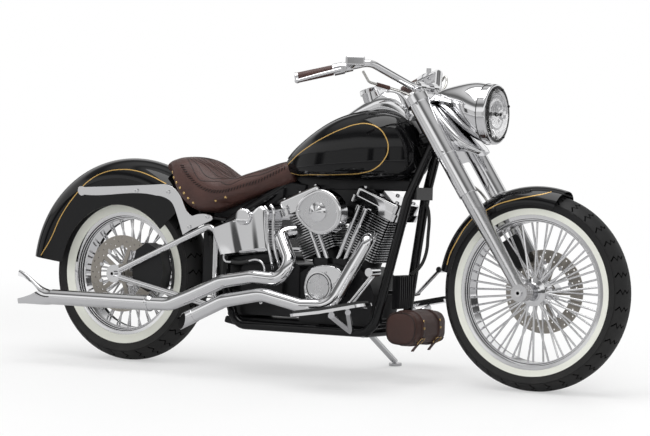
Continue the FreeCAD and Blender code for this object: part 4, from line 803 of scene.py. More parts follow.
# %% Pinstripes
STRIPE_WIDTH, STRIPE_HEIGHT = 4.6, 0.5
TANK_STRIPE = [(716, 744), (752, 728), (862, 726), (989, 729), (1070, 736), (1126, 753), (1160, 786),
               (1171, 826), (1159, 866), (1130, 896), (1083, 911), (1035, 908), (984, 892), (907, 859),
               (828, 820), (757, 780)]
REAR_STRIPE = [(-362, 386), (-318, 449), (-270, 541), (-197, 632), (-137, 686), (-72, 716), (-6, 727),
               (61, 725), (140, 705), (205, 678)]
FRONT_STRIPE = [(1389, 423), (1398, 457), (1427, 512), (1462, 566), (1500, 602), (1542, 622), (1573, 638),
                (1628, 655), (1709, 673), (1742, 680), (1766, 688)]


def pinstripe(name, node, line, body, cyclic):
    tree = surface_of(nodes[node])
    smooth = flowing([Vector((x, 0, z)) / 1000 for x, z in line], cyclic)
    for side in (-1, 1):
        points, outwards = cast(tree, [p + Vector((0, side * 0.2, 0)) for p in smooth], (0, -side, 0))
        if len(points) < len(smooth):
            print(name, "missed", len(smooth) - len(points), "places")
        label = f"{name}_{'left' if side > 0 else 'right'}"
        ribbon(label, points, outwards, STRIPE_WIDTH, STRIPE_HEIGHT, gold_line, body, "black_paint", cyclic)


pinstripe("tank_pinstripe", "fuel_tank", TANK_STRIPE, "chassis", True)
pinstripe("rear_pinstripe", "rear_fender", REAR_STRIPE, "chassis", False)
pinstripe("front_pinstripe", "front_fender", FRONT_STRIPE, "steering", False)

# %% [markdown]
# The road tread is a band of rubber with zigzag grooves on both shoulders. One sector is laid out as a
# grid whose rows zigzag, the faces of its grooves are left out, and it is copied around the wheel. The
# band then gets its thickness, so that each groove is a real slot down to the tyre.

# %% Treads
TREAD_COLUMNS = [-0.97, -0.88, -0.74, -0.60, -0.46, -0.30, -0.13, 0.13, 0.30, 0.46, 0.60, 0.74, 0.88, 0.97]
TREAD_ZIGZAG = [0.0, 0.06, 0.24, -0.04, 0.22, 0.02, 0.16, 0.0, 0.16, 0.02, 0.22, -0.04, 0.24, 0.06]
TREAD_ROWS = [0.0, 0.13, 0.25, 0.50, 0.63, 0.75]
MIDDLE_COLUMN = 6
RIGHT_GROOVE, LEFT_GROOVE = 1, 4
TREAD_HEIGHT, TREAD_CLEAR = 2.4, 0.1


def tread(name, axle, radius, half, crown, sectors, body):
    """A tread band around an axle at a drawn (x, z) place."""
    shape = bmesh.new()
    rows = []
    for sector in range(sectors):
        for row in TREAD_ROWS:
            line = []
            for share, shift in zip(TREAD_COLUMNS, TREAD_ZIGZAG):
                angle = (sector + row + shift) * 2 * math.pi / sectors
                side = share * half
                reach = radius - crown + math.sqrt(crown ** 2 - side ** 2) + TREAD_CLEAR
                line.append(shape.verts.new(drawn(axle[0] + reach * math.cos(angle), side,
                                                  axle[1] + reach * math.sin(angle))))
            rows.append(line)
    for index, line in enumerate(rows):
        after = rows[(index + 1) % len(rows)]
        step = index % len(TREAD_ROWS)
        for column in range(len(TREAD_COLUMNS) - 1):
            groove_right = step == RIGHT_GROOVE and column < MIDDLE_COLUMN
            groove_left = step == LEFT_GROOVE and column > MIDDLE_COLUMN
            if not groove_right and not groove_left:
                shape.faces.new((line[column], line[column + 1], after[column + 1], after[column]))
    band = built(shape, name)
    middle = drawn(axle[0], 0, axle[1])
    if sum(face.normal.dot((face.center - middle).normalized()) for face in band.data.polygons) < 0:
        on_whole(band, FLIPPED)
    modified(band, "SOLIDIFY", thickness=TREAD_HEIGHT / 1000, offset=1)
    return done(band, name, tyre_rubber, body, 40)


tread("front_tread", FRONT_AXLE, FRONT_RADIUS, 59, 75, 36, "front_wheel")
tread("rear_tread", REAR_AXLE, REAR_RADIUS, 74, 95, 32, "rear_wheel")

# %% [markdown]
# The seat is foam under leather, so it is made as a padded form: a copy of its solid is drawn out at
# the tail, made into an even net of small faces, and blown up a little as cloth with a cap on how far
# a point may move. One subdivision then smooths it.

# %% Padded seat
SEAT_VOXEL, SEAT_PRESSURE, SEAT_CAP = 0.0065, 4, 0.007
TAIL_START, TAIL_STRETCH, TAIL_SPREAD, TAIL_LIFT = 0.345, 0.38, 1.9, 0.25
SPREAD_REACH, LIFT_FROM = 0.06, 0.05
CLOTH_FRAMES = 20
SMOOTH_ALL = 180


def puffed(piece, pressure, cap):
    """Blow a closed skin up as cloth, with no point further than the cap from where it was."""
    rest = [v.co.copy() for v in piece.data.vertices]
    alone(piece)
    bpy.ops.object.modifier_add(type="CLOTH")
    cloth = piece.modifiers[-1]
    cloth.settings.use_pressure = True
    cloth.settings.uniform_pressure_force = pressure
    cloth.settings.effector_weights.gravity = 0
    cloth.point_cache.frame_end = CLOTH_FRAMES
    for frame_number in range(1, CLOTH_FRAMES + 1):
        bpy.context.scene.frame_set(frame_number)
    bpy.ops.object.modifier_apply(modifier=cloth.name)
    bpy.context.scene.frame_set(1)
    for vertex, start in zip(piece.data.vertices, rest):
        move = vertex.co - start
        if move.length > cap:
            vertex.co = start + move * (cap / move.length)


def remeshed(piece, voxel):
    alone(piece)
    piece.data.remesh_voxel_size = voxel
    bpy.ops.object.voxel_remesh()


seat = merged_copy("seat", "padded_seat")
for vertex in seat.data.vertices:
    place = UPRIGHT @ vertex.co
    behind = max(0.0, TAIL_START - place.x)
    place.x -= behind * TAIL_STRETCH
    place.y *= 1 + min(behind, SPREAD_REACH) * TAIL_SPREAD
    place.z += max(0.0, behind - LIFT_FROM) * TAIL_LIFT
    vertex.co = MACHINE @ place
remeshed(seat, SEAT_VOXEL)
modified(seat, "SMOOTH", factor=0.5, iterations=6)
puffed(seat, SEAT_PRESSURE, SEAT_CAP)
modified(seat, "SUBSURF", levels=1, render_levels=1)
done(seat, "padded_seat", brown_leather, "chassis", SMOOTH_ALL)
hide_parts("seat")
seat_surface = surface_of(seat)

# %% [markdown]
# A border of lacing joins the tooled top of the seat to its plain skirt, and a row of brass studs
# follows the skirt's lower edge. The lines were found on the photograph and are dropped onto the padded
# seat from the side, so stitches and studs sit on the leather. The tooled lines run lengthwise and are
# dropped from above at a fan of angles, with a ripple.

# %% Lacing, tooled lines and studs on the seat
LACE_LINE = [(292, 752), (313, 731), (345, 702), (382, 676), (433, 657), (491, 657), (521, 664), (548, 673),
             (578, 683), (618, 697), (651, 714), (697, 739), (716, 752)]
LACE_PITCH, LACE_TURN, LACE_LIFT = 12, math.radians(52), 0.7
TOOLED_ANGLES = (0, 15, 29, 42, 54, 66, 77)
TOOLED_START, TOOLED_END, TOOLED_STEP = 272, 700, 7
RIPPLE, RIPPLE_LENGTH, RIPPLE_FADE = 4.5, 21, 200
SEAT_STUDS = [(250, 722), (266, 702), (284, 684), (302, 664), (320, 645), (337, 627), (358, 610), (455, 620),
              (498, 634)]


def stitch_model(length, radius):
    """One stitch: a short round bar with drawn-in ends."""
    fresh()
    bpy.ops.mesh.primitive_cylinder_add(vertices=6, radius=radius, depth=length, rotation=(0, math.pi / 2, 0))
    stitch = bpy.context.object
    bpy.ops.object.transform_apply(rotation=True)
    on_whole(stitch, (bpy.ops.mesh.subdivide, {"number_cuts": 1}))
    for vertex in stitch.data.vertices:
        share = abs(vertex.co.x) / (length / 2)
        vertex.co.z += radius * 0.5 * (1 - share ** 2) - radius * 0.35 * share
        vertex.co.y *= 1 - 0.35 * share
    return stitch


def stud_model(radius, height):
    """One round-headed stud."""
    fresh()
    bpy.ops.mesh.primitive_uv_sphere_add(segments=12, ring_count=8, radius=radius)
    cut = {"plane_co": (0, 0, -radius * 0.15), "plane_no": (0, 0, 1), "clear_inner": True, "use_fill": True}
    stud = on_whole(bpy.context.object, (bpy.ops.mesh.bisect, cut))
    for vertex in stud.data.vertices:
        vertex.co.z *= height / radius
    return stud


def lace_height(x):
    """The height of the lacing at a place along the seat."""
    for (x0, z0), (x1, z1) in zip(LACE_LINE, LACE_LINE[1:]):
        if x <= x1:
            return z0 + (z1 - z0) * (x - x0) / (x1 - x0)
    return LACE_LINE[-1][1]


brass = smudged(principled("brass", (0.72, 0.50, 0.22), 1.0), 0.14, 0.3, 60)
lace_leather = leather("lace_leather", (0.022, 0.010, 0.008), (0.010, 0.005, 0.004), 900)
stitch = stitch_model(0.0145, 0.0023)
side_line = flowing([Vector((x, 0, z)) / 1000 for x, z in LACE_LINE])
stitch_places = []
for way in (Vector((0, 1, 0)), Vector((0, -1, 0))):
    points, outwards = cast(seat_surface, [p - way * 0.2 for p in side_line], way)
    for place, heading in evenly(points, LACE_PITCH / 1000):
        nearest = min(range(len(points)), key=lambda k: (points[k] - place).length_squared)
        outward = outwards[nearest]
        slanting = Matrix.Rotation(LACE_TURN, 3, outward) @ heading
        stitch_places.append(standing(place * 1000 + outward * LACE_LIFT, outward, slanting))
copies(stitch, stitch_places, "seat_lacing", lace_leather, "chassis", 60)

tooled = []
for angle in TOOLED_ANGLES:
    for side in ((1,) if angle == 0 else (1, -1)):
        rays = []
        for x in range(TOOLED_START, TOOLED_END, TOOLED_STEP):
            ripple = RIPPLE * math.sin(x / RIPPLE_LENGTH + angle * 0.11)
            lean = math.radians(side * (angle + ripple * min(1.0, (TOOLED_END - x) / RIPPLE_FADE)))
            way = Vector((0, math.sin(lean), math.cos(lean)))
            rays.append((Vector((x, 0, lace_height(x))) / 1000 + way * 0.4, -way))
        tooled.append(ribbon(f"seat_tooling_{len(tooled)}", *hits(seat_surface, rays), 3.4, 1.0, lace_leather,
                             "chassis", "brown_leather", sunk=0.8))
joined(tooled).name = "seat_tooling"

stud_places = []
for side in (-1, 1):
    points, outwards = cast(seat_surface, [Vector((x, side * 200, z)) / 1000 for x, z in SEAT_STUDS],
                            (0, -side, 0))
    stud_places += [standing(p * 1000, o) for p, o in zip(points, outwards)]
seat_stud = stud_model(0.0056, 0.0036)
copies(seat_stud, stud_places, "seat_studs", brass, "chassis", 60)
removed(stitch, seat_stud)

# %% [markdown]
# Fasteners are small, but they tell the eye how big the machine is. A socket screw is modelled by
# extruding and insetting a cylinder, in two sizes, and copied to where the photograph shows one. Turned
# shapes and flat rings are made here too, for the pieces that follow.

# %% Screws and turned shapes


def screw_model(radius, height):
    """A cap screw with a round socket, standing on the origin along Z."""
    fresh()
    bpy.ops.mesh.primitive_cylinder_add(vertices=16, radius=radius, depth=height, location=(0, 0, height / 2))
    screw = bpy.context.object
    bpy.ops.object.transform_apply(location=True)
    bpy.ops.object.mode_set(mode="EDIT")
    bpy.ops.mesh.select_all(action="DESELECT")
    bpy.ops.mesh.select_mode(type="FACE")
    bpy.ops.object.mode_set(mode="OBJECT")
    for face in screw.data.polygons:
        face.select = face.normal.z > 0.9
    bpy.ops.object.mode_set(mode="EDIT")
    bpy.ops.mesh.inset(thickness=radius * 0.14)
    bpy.ops.transform.translate(value=(0, 0, height * 0.14))
    bpy.ops.mesh.inset(thickness=radius * 0.34)
    bpy.ops.mesh.extrude_region_move(TRANSFORM_OT_translate={"value": (0, 0, -height * 0.5)})
    bpy.ops.object.mode_set(mode="OBJECT")
    return screw


def turned_model(profile, sides=32):
    """A turned shape along Z from (radius, height) pairs, closed at both ends."""
    fresh()
    radius, height = profile[0]
    bpy.ops.mesh.primitive_circle_add(vertices=sides, radius=radius, location=(0, 0, height),
                                      fill_type="NGON")
    shape = bpy.context.object
    bpy.ops.object.transform_apply(location=True)
    bpy.ops.object.mode_set(mode="EDIT")
    for next_radius, next_height in profile[1:]:
        bpy.ops.mesh.extrude_region_move(TRANSFORM_OT_translate={"value": (0, 0, next_height - height)})
        share = next_radius / radius
        bpy.ops.transform.resize(value=(share, share, 1))
        radius, height = next_radius, next_height
    return on_whole(shape, OUTWARDS)


def ring_model(inner, outer, thick, sides=32):
    """A flat ring with softened edges along Z."""
    fresh()
    bpy.ops.mesh.primitive_cylinder_add(vertices=sides, radius=outer, depth=thick, end_fill_type="NOTHING")
    ring = modified(bpy.context.object, "SOLIDIFY", thickness=outer - inner, offset=-1)
    return modified(ring, "BEVEL", width=thick * 0.2, segments=2, limit_method="ANGLE")


def on_circle(x, z, radius, angles):
    """Drawn (x, z) places on a circle."""
    return [(x + radius * math.cos(angle), z + radius * math.sin(angle)) for angle in angles]


OUT_RIGHT, OUT_LEFT = (0, -1, 0), (0, 1, 0)
CAM_SIDE, CAM_PLATE_SIDE, AIR_SIDE = -166, -172, -253.2
STRUT_SIDE, PRIMARY_SIDE, GEARBOX_SIDE = 120, 176, -110
CAM_SCREWS = [(873, 318), (886, 285), (917, 270), (958, 274), (983, 303), (990, 340), (952, 378), (902, 372)]
CAM_PLATE_SCREWS = on_circle(CAM_X, CAM_Z, 38, (0.3, 1.56, 2.8, 4.07, 5.3))
STRUT_SCREWS = [(90, 649), (234, 647), (412, 560), (334, 519)]
AIR_SCREWS = [(886, 593), (1041, 596)]
FORK_COVER_SCREWS = [(1400, 155.5, 817), (1293, 155.5, 983)]
ROCKER_SCREWS = [(shift, side) for side in (-62, 62) for shift in (-70, 0, 70)]
ROCKER_SCREW_HEIGHT = FIN_TOP + 57.5
PRIMARY_SCREWS = on_circle(945, 300, 92, (-2.2, -1.3, -0.5, 0.4, 1.2))
PRIMARY_SCREWS += on_circle(640, 320, 79, (1.9, 2.7, 3.5, 4.3)) + [(790, 404), (790, 218)]
GEARBOX_SCREWS = [(576, 262), (576, 352), (652, 256), (652, 362), (728, 262), (728, 356)]


def flat_on(side, places, outward):
    """Matrices for (x, z) places at one side position, all looking the same way."""
    return [standing((x, side, z), outward) for x, z in places]


rocker_places = []
for sense in (1, -1):
    bore = Vector((math.sin(CYLINDER_LEAN) * sense, 0, math.cos(CYLINDER_LEAN)))
    across = Vector((math.cos(CYLINDER_LEAN), 0, -math.sin(CYLINDER_LEAN) * sense))
    for shift, side in ROCKER_SCREWS:
        spot = CRANK + bore * ROCKER_SCREW_HEIGHT + across * shift + Vector((0, side, 0))
        rocker_places.append(standing(spot, bore))
fork_places = [standing((x, side * y, z), (0.16, side, 0))
               for side in (-1, 1) for x, y, z in FORK_COVER_SCREWS]
strut_places = [place for side in (-1, 1)
                for place in flat_on(side * STRUT_SIDE, STRUT_SCREWS, (0, side, 0))]
cam_places = flat_on(CAM_SIDE, CAM_SCREWS, OUT_RIGHT)
cam_places += flat_on(CAM_PLATE_SIDE, CAM_PLATE_SCREWS, OUT_RIGHT)
air_places = flat_on(AIR_SIDE, AIR_SCREWS, OUT_RIGHT)
primary_places = flat_on(PRIMARY_SIDE, PRIMARY_SCREWS, OUT_LEFT)
gearbox_places = flat_on(GEARBOX_SIDE, GEARBOX_SCREWS, OUT_RIGHT)
screw_small, screw_large = screw_model(0.0042, 0.004), screw_model(0.0075, 0.005)
for name, model, places, material, body in (
        ("cam_cover_screws", screw_small, cam_places, satin_chrome, "chassis"),
        ("strut_screws", screw_large, strut_places, chrome, "chassis"),
        ("air_cleaner_screws", screw_small, air_places, chrome, "chassis"),
        ("fork_cover_screws", screw_small, fork_places, chrome, "steering"),
        ("rocker_cover_screws", screw_large, rocker_places, chrome, "chassis"),
        ("primary_cover_screws", screw_large, primary_places, chrome, "chassis"),
        ("gearbox_screws", screw_large, gearbox_places, chrome, "chassis")):
    copies(model, places, name, material, body)

# %% [markdown]
# Each brake disc is a drilled steel ring on a carrier. The solid has the plain ring, so a drilled one
# replaces it: three rows of holes are cut at once by one boolean with all the drill bits joined, and
# floating rivets sit between the ring and the carrier's arms.

# %% Drilled brake discs
DRILL_COUNT, DRILL_RADIUS, DRILL_DEPTH = 20, 0.0032, 0.02
# pairs of the row's radius and its shift, as a share of the pitch
DRILL_ROWS = [(110, 0.0), (123, 0.5), (136, 0.0)]
RIVET_COUNT, RIVET_REACH = 10, 101
RIVET = [(0.007, -0.0032), (0.007, 0.0032), (0.004, 0.0045)]
FRONT_DISC_SIDE, REAR_DISC_SIDE = 64.5, -74.5


def round_angles(count, shift):
    return [2 * math.pi * (index + shift) / count for index in range(count)]


def drilled_disc(node, side, axle, body):
    bits = []
    for reach, shift in DRILL_ROWS:
        for matrix in flat_on(side, on_circle(*axle, reach, round_angles(DRILL_COUNT, shift)), OUT_LEFT):
            fresh()
            bpy.ops.mesh.primitive_cylinder_add(vertices=10, radius=DRILL_RADIUS, depth=DRILL_DEPTH)
            bits.append(bpy.context.object)
            bits[-1].matrix_world = matrix
    drill = joined(bits)
    disc = modified(merged_copy(node, "drilled"), "BOOLEAN", operation="DIFFERENCE", object=drill)
    removed(drill)
    done(disc, f"{node}_drilled", bare_steel, body, 30)
    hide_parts(node)
    rivet = turned_model(RIVET, 14)
    rivet_places = flat_on(side, on_circle(*axle, RIVET_REACH, round_angles(RIVET_COUNT, 0.5)), OUT_LEFT)
    copies(rivet, rivet_places, f"{node}_rivets", satin_chrome, body)
    removed(rivet)


drilled_disc("front_disc", FRONT_DISC_SIDE, FRONT_AXLE, "front_wheel")
drilled_disc("rear_disc", REAR_DISC_SIDE, REAR_AXLE, "rear_wheel")

# %% [markdown]
# A headlight is a bright bowl of many small mirrors behind clear glass. The bowl is shallow here,
# because the shell is solid behind it: rings of facets step in and out, which breaks the reflections
# up as the real one does. Two bulbs stand in its middle, and a thin domed glass closes it. Small
# screws go around the rim, and a dark ring marks the seam of the shell.

# %% Headlight
LAMP_FRONT = on_fork(162, 0, 625) + Vector((34, 0, 0))
AHEAD = (1, 0, 0)
BOWL = [(0.0872, -0.0099), (0.0872, -0.0012), (0.0845, -0.0012), (0.074, -0.0045), (0.066, -0.0030),
        (0.055, -0.0062), (0.047, -0.0048), (0.036, -0.0080), (0.024, -0.0088)]
BULB = [(0.005, -0.009), (0.005, -0.004), (0.0075, -0.002), (0.0075, -0.001), (0.0045, 0.001)]
PANE = [(0.0868, -0.0010), (0.0868, 0.0006), (0.080, 0.0026), (0.064, 0.0045), (0.042, 0.0058),
        (0.018, 0.0064), (0.006, 0.0065)]
FACETS, FACET_DEPTH, FACET_TWIST = 14, 0.0016, 160
FACETS_FROM, FACETS_TO = 0.03, 0.08
BULB_SIDE, TRIM_REACH, SEAM_BEHIND = 22, 93.5, 33
bowl = turned_model(BOWL, 2 * FACETS)
for vertex in bowl.data.vertices:
    reach = math.hypot(vertex.co.x, vertex.co.y)
    if FACETS_FROM < reach < FACETS_TO:
        turn = math.atan2(vertex.co.y, vertex.co.x)
        vertex.co.z += FACET_DEPTH * math.cos(FACETS * turn + reach * FACET_TWIST)
put(bowl, standing(LAMP_FRONT, AHEAD), "headlight_bowl", chrome, "steering", 12)
bulb = turned_model(BULB, 20)
copies(bulb, [standing(LAMP_FRONT + Vector((0, side * BULB_SIDE, 0)), AHEAD) for side in (-1, 1)],
       "headlight_bulbs", black_satin, "steering")
removed(bulb)
pane = put(turned_model(PANE, 48), standing(LAMP_FRONT, AHEAD), "headlight_glass", glass, "steering",
           40)
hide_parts("headlight_lens")
trim_places = [standing(LAMP_FRONT + Vector((0, side, up)), AHEAD)
               for side, up in on_circle(0, 0, TRIM_REACH, (0.35, 1.2, 2.0, 2.9, 4.1, 5.3))]
copies(screw_small, trim_places, "headlight_screws", black_satin, "steering")
put(ring_model(0.1063, 0.1076, 0.0022, 64), standing(LAMP_FRONT - Vector((SEAM_BEHIND, 0, 0)), AHEAD),
    "headlight_seam", black_rubber, "steering")

# %% [markdown]
# The tool bag hangs on the front of the frame. It is a stiff leather roll with a flap, held by two
# straps with brass buckles. The body is blown up as cloth from a copy of its solid, a little smaller;
# flat straps would melt in that remesh, so they are laid around it afterwards. The ends of the straps
# hang free below the buckles.

# %% Tool bag
BAG_X, BAG_Z = 1234, 192
BAG_SHARE, BAG_VOXEL, BAG_PRESSURE, BAG_CAP = 0.95, 0.0055, 2, 0.0035
STRAP_SIDE, BUCKLE_ANGLE, BAG_STUD_ANGLES = 62, -38, (2, 24)
END_STEPS, END_STEP, END_DROOP, END_LIFT = 4, 0.0095, 0.05, 0.0032
TRIM_LIFT = 4.2
bag = merged_copy("tool_bag", "padded_bag")
bag_middle = drawn(BAG_X, 0, BAG_Z)
for vertex in bag.data.vertices:
    vertex.co = bag_middle + (vertex.co - bag_middle) * BAG_SHARE
remeshed(bag, BAG_VOXEL)
modified(bag, "SMOOTH", factor=0.5, iterations=4)
puffed(bag, BAG_PRESSURE, BAG_CAP)
modified(bag, "SMOOTH", factor=0.5, iterations=6)
modified(bag, "SUBSURF", levels=1, render_levels=1)
done(bag, "padded_bag", dark_leather, "chassis", SMOOTH_ALL)
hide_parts("tool_bag")
bag_surface = surface_of(bag)


def way_at(degrees, side=0.0):
    """The way out from the bag's middle line at an angle above straight ahead."""
    angle = math.radians(degrees)
    return Vector((math.cos(angle), side, math.sin(angle))).normalized()


def on_bag(places):
    """Places on the bag's skin, each from a side position and the way out there."""
    rays = [(Vector((BAG_X, side, BAG_Z)) / 1000 + way * 0.3, -way) for side, way in places]
    return hits(bag_surface, rays)


def bag_arc(side, start, end, count):
    """Places around the bag at one side position, from one angle to another."""
    return on_bag([(side, way_at(start + (end - start) * index / count)) for index in range(count + 1)])


strap_parts = []
for side in (-STRAP_SIDE, STRAP_SIDE):
    strap_parts.append(ribbon(f"bag_strap_{side + STRAP_SIDE}", *bag_arc(side, -112, 215, 52), 24, 3.2,
                              dark_leather, "chassis", "brown_leather"))
    points, outwards = bag_arc(side, -26, -48, 4)
    points = [point + outward * END_LIFT for point, outward in zip(points, outwards)]
    heading = (points[-1] - points[-3]).normalized()
    for _step in range(END_STEPS):
        heading = (heading - Vector((0, 0, END_DROOP))).normalized()
        points.append(points[-1] + heading * END_STEP)
        outwards.append(Vector((-heading.z, 0, heading.x)))
    strap_parts.append(ribbon(f"bag_strap_end_{side + STRAP_SIDE}", points, outwards, 20, 3.0, dark_leather,
                              "chassis", "brown_leather"))
flap = [(-112 + 224 * share, way_at(-34 - 26 * math.sin(math.pi * share) ** 0.6))
        for share in (index / 40 for index in range(41))]
strap_parts.append(ribbon("bag_flap_edge", *on_bag(flap), 5, 2.6, lace_leather, "chassis", "brown_leather"))
for side in (-1, 1):
    piping = [(side * STRAP_SIDE, way_at(360 * index / 48, side * 0.9)) for index in range(48)]
    strap_parts.append(ribbon(f"bag_piping_{side + 1}", *on_bag(piping), 4.5, 2.4, lace_leather, "chassis",
                              "brown_leather", cyclic=True))
joined(strap_parts).name = "bag_straps"


def on_straps(angles):
    """Matrices just above both straps, with X along the bag."""
    places = on_bag([(side, way_at(angle)) for side in (-STRAP_SIDE, STRAP_SIDE) for angle in angles])
    return [standing(hit * 1000 + outward * TRIM_LIFT, outward, (0, 1, 0)) for hit, outward in zip(*places)]


fresh()
bpy.ops.mesh.primitive_torus_add(major_segments=24, minor_segments=8, major_radius=0.0165,
                                 minor_radius=0.0019)
buckle = bpy.context.object
for vertex in buckle.data.vertices:
    vertex.co.x = math.copysign(min(abs(vertex.co.x) * 1.25, 0.0185), vertex.co.x)
    vertex.co.y = math.copysign(min(abs(vertex.co.y), 0.0135), vertex.co.y)
copies(buckle, on_straps([BUCKLE_ANGLE]), "bag_buckles", brass, "chassis", 60)
bag_stud = stud_model(0.0048, 0.003)
copies(bag_stud, on_straps(BAG_STUD_ANGLES), "bag_studs", brass, "chassis", 60)
removed(buckle, bag_stud)

# %% [markdown]
# Thin pipes and hoses finish the engine: two breather tubes down the front of the oil tank with a
# hose below it, the clutch cable at the left grip, leather sleeves on the brake hose, chrome caps on
# the grips, and a clamp on the exhaust.

# %% Pipes, hoses, caps and clamp
REAR_BREATHER = [(676, -146, 606), (690, -148, 590), (692, -150, 540), (698, -150, 470), (712, -150, 420),
                 (716, -140, 380)]
FRONT_BREATHER = [(700, -142, 612), (714, -146, 596), (716, -148, 540), (722, -148, 470), (736, -146, 420),
                  (742, -132, 384)]
HOSE_END_REAR = [(500, -136, 418), (508, -140, 402), (524, -140, 398), (546, -140, 400)]
HOSE = [(538, -140, 399), (570, -140, 397), (612, -140, 404)]
HOSE_END_FRONT = [(604, -140, 403), (650, -142, 410), (676, -144, 396), (686, -144, 360), (690, -136, 330)]
CLUTCH_CABLE = [(1150, 262, 1072), (1172, 258, 1082), (1194, 250, 1100), (1206, 236, 1074), (1206, 190, 1040),
                (1204, 150, 1024), (1208, 104, 1008), (1222, 80, 990)]
OUTER_SLEEVE = (Vector((1147, -240, 1052)), Vector((1199, -130, 1030)), (0.28, 0.5, 0.72))
INNER_SLEEVE = (on_fork(-30, -70, 800), on_fork(-30, -70, 506), (0.0, 0.07, 0.14))
SLEEVE_RADIUS = 7.2
CAP = [(0.0186, -0.003), (0.0192, 0.001), (0.0192, 0.006), (0.0165, 0.0085), (0.009, 0.0092),
       (0.008, 0.0075), (0.003, 0.0072)]
for name, places, radius, material, slot in (
        ("oil_breather_rear", REAR_BREATHER, 5.5, chrome, "chrome"),
        ("oil_breather_front", FRONT_BREATHER, 5.5, chrome, "chrome"),
        ("oil_hose_end_rear", HOSE_END_REAR, 4.5, chrome, "chrome"),
        ("oil_hose", HOSE, 7.5, black_rubber, "black_rubber"),
        ("oil_hose_end_front", HOSE_END_FRONT, 4.5, chrome, "chrome")):
    tube(name, places, radius, material, "chassis")
for name, (start, end, shares) in (("hose_sleeve_outer", OUTER_SLEEVE), ("hose_sleeve_inner", INNER_SLEEVE)):
    tube(name, [start.lerp(end, share) for share in shares], SLEEVE_RADIUS, brown_leather, "steering")
tube("clutch_cable", CLUTCH_CABLE, 4, braided_steel, "steering")
cap = turned_model(CAP)
cap_places = []
for side in (-1, 1):
    grip_way = Vector((-210, 131 * side, -61)).normalized()
    cap_places.append(standing(Vector((950, 394 * side, 1058)) + grip_way, grip_way))
copies(cap, cap_places, "grip_caps", chrome, "steering", 30)
removed(cap)
put(ring_model(0.0292, 0.0315, 0.012, 48), standing((240, -232, 235), AHEAD), "muffler_clamp", chrome,
    "chassis")

# %% [markdown]
# Polished rims step down from the tyre to the spokes, which shows as fine bright and dark rings. Three
# bevelled rings on each side of each rim make those steps, and a black ring behind them is painted
# shade in the gaps between them.

# %% Steps inside the rims
RIM_GAP_DEPTH = 9
# each ring's inner radius, outer radius and distance from the wheel's middle
FRONT_STEPS = [(253.9, 257.4, 43), (248.4, 252.0, 38), (243.2, 246.6, 33)]
REAR_STEPS = [(220.9, 224.4, 56), (215.4, 219.0, 50), (210.2, 213.6, 44)]


def rim_rings(steps, axle, thick):
    """Rings on both sides of a rim, joined."""
    rings = []
    for inner, outer, side in steps:
        for sign in (-1, 1):
            rings.append(ring_model(inner / 1000, outer / 1000, thick, 96))
            rings[-1].matrix_world = standing((axle[0], sign * side, axle[1]), OUT_LEFT)
    return joined(rings)


for label, axle, steps in (("front", FRONT_AXLE, FRONT_STEPS), ("rear", REAR_AXLE, REAR_STEPS)):
    # The black ring below is painted shade in the gaps between the steps.
    gap = (steps[-1][0], steps[0][1], steps[-1][2] - RIM_GAP_DEPTH / 2)
    done(rim_rings(steps, axle, 0.004), f"{label}_rim_steps", chrome, f"{label}_wheel")
    done(rim_rings([gap], axle, 0.003), f"{label}_rim_gap_shade", black_satin, f"{label}_wheel")

# %% [markdown]
# The oil tank's sides are pressed sheet with shallow upright waves, which break what they mirror into
# upright bands. A grid is laid between the lines of the tank's outline and pushed out towards its
# middle. The filler cap gets a knurled rim.

# %% Oil tank panels and cap
TANK_TOP = [(446, 519), (614, 581), (652, 606), (671, 593)]
TANK_LOW = [(492, 419), (688, 446)]
TANK_FACE, TANK_BULGE, TANK_EDGE = 141.4, 13, 24
# each wave's start and span, as shares of the tank's length, and its rise
TANK_WAVES = [(0.0, 0.30, 1.5), (0.30, 0.25, -8.0), (0.68, 0.22, -5.5)]
PANEL_WALL = 0.0015
OIL_CAP = [(0.0285, 0.0), (0.0285, 0.004), (0.030, 0.0055), (0.030, 0.011), (0.0275, 0.0135),
           (0.016, 0.0150), (0.004, 0.0152)]
KNURLS, KNURL_DEPTH = 20, 0.035
KNURLS_FROM, KNURLS_TO = 0.005, 0.0115


def eased(share):
    share = min(1.0, max(0.0, share))
    return share * share * (3 - 2 * share)


def along_line(line, x_share):
    """A place at a share of the way along a line's X."""
    x = line[0][0] + (line[-1][0] - line[0][0]) * x_share
    for (x0, z0), (x1, z1) in zip(line, line[1:]):
        if x <= x1 + 1e-6:
            return x, z0 + (z1 - z0) * (x - x0) / (x1 - x0)
    return line[-1]


panels = []
for side in (-1, 1):
    fresh()
    bpy.ops.mesh.primitive_grid_add(x_subdivisions=60, y_subdivisions=24, size=2)
    panel = bpy.context.object
    for vertex in panel.data.vertices:
        across, up = (vertex.co.x + 1) / 2, (vertex.co.y + 1) / 2
        top_x, top_z = along_line(TANK_TOP, across)
        low_x, low_z = along_line(TANK_LOW, across)
        edge = min(1.0, TANK_EDGE * min(across, 1 - across, up, 1 - up))
        wave = TANK_BULGE + sum(rise * eased((across - start) / span) for start, span, rise in TANK_WAVES)
        depth = TANK_FACE + (wave + math.sin(math.pi * up)) * math.sqrt(edge)
        vertex.co = drawn(low_x + (top_x - low_x) * up, side * depth, low_z + (top_z - low_z) * up)
    if side > 0:
        on_whole(panel, FLIPPED)
    panels.append(panel)
panel = modified(joined(panels), "SOLIDIFY", thickness=PANEL_WALL, offset=-1)
done(panel, "oil_tank_panels", chrome, "chassis", 60)
oil_cap = turned_model(OIL_CAP, 2 * KNURLS)
for vertex in oil_cap.data.vertices:
    if KNURLS_FROM < vertex.co.z < KNURLS_TO:
        turn = math.atan2(vertex.co.y, vertex.co.x)
        share = 1 + KNURL_DEPTH * math.cos(KNURLS * turn)
        vertex.co.x *= share
        vertex.co.y *= share
put(oil_cap, standing((592, -151, 566), OUT_RIGHT), "oil_filler_cap", chrome, "chassis", 25)
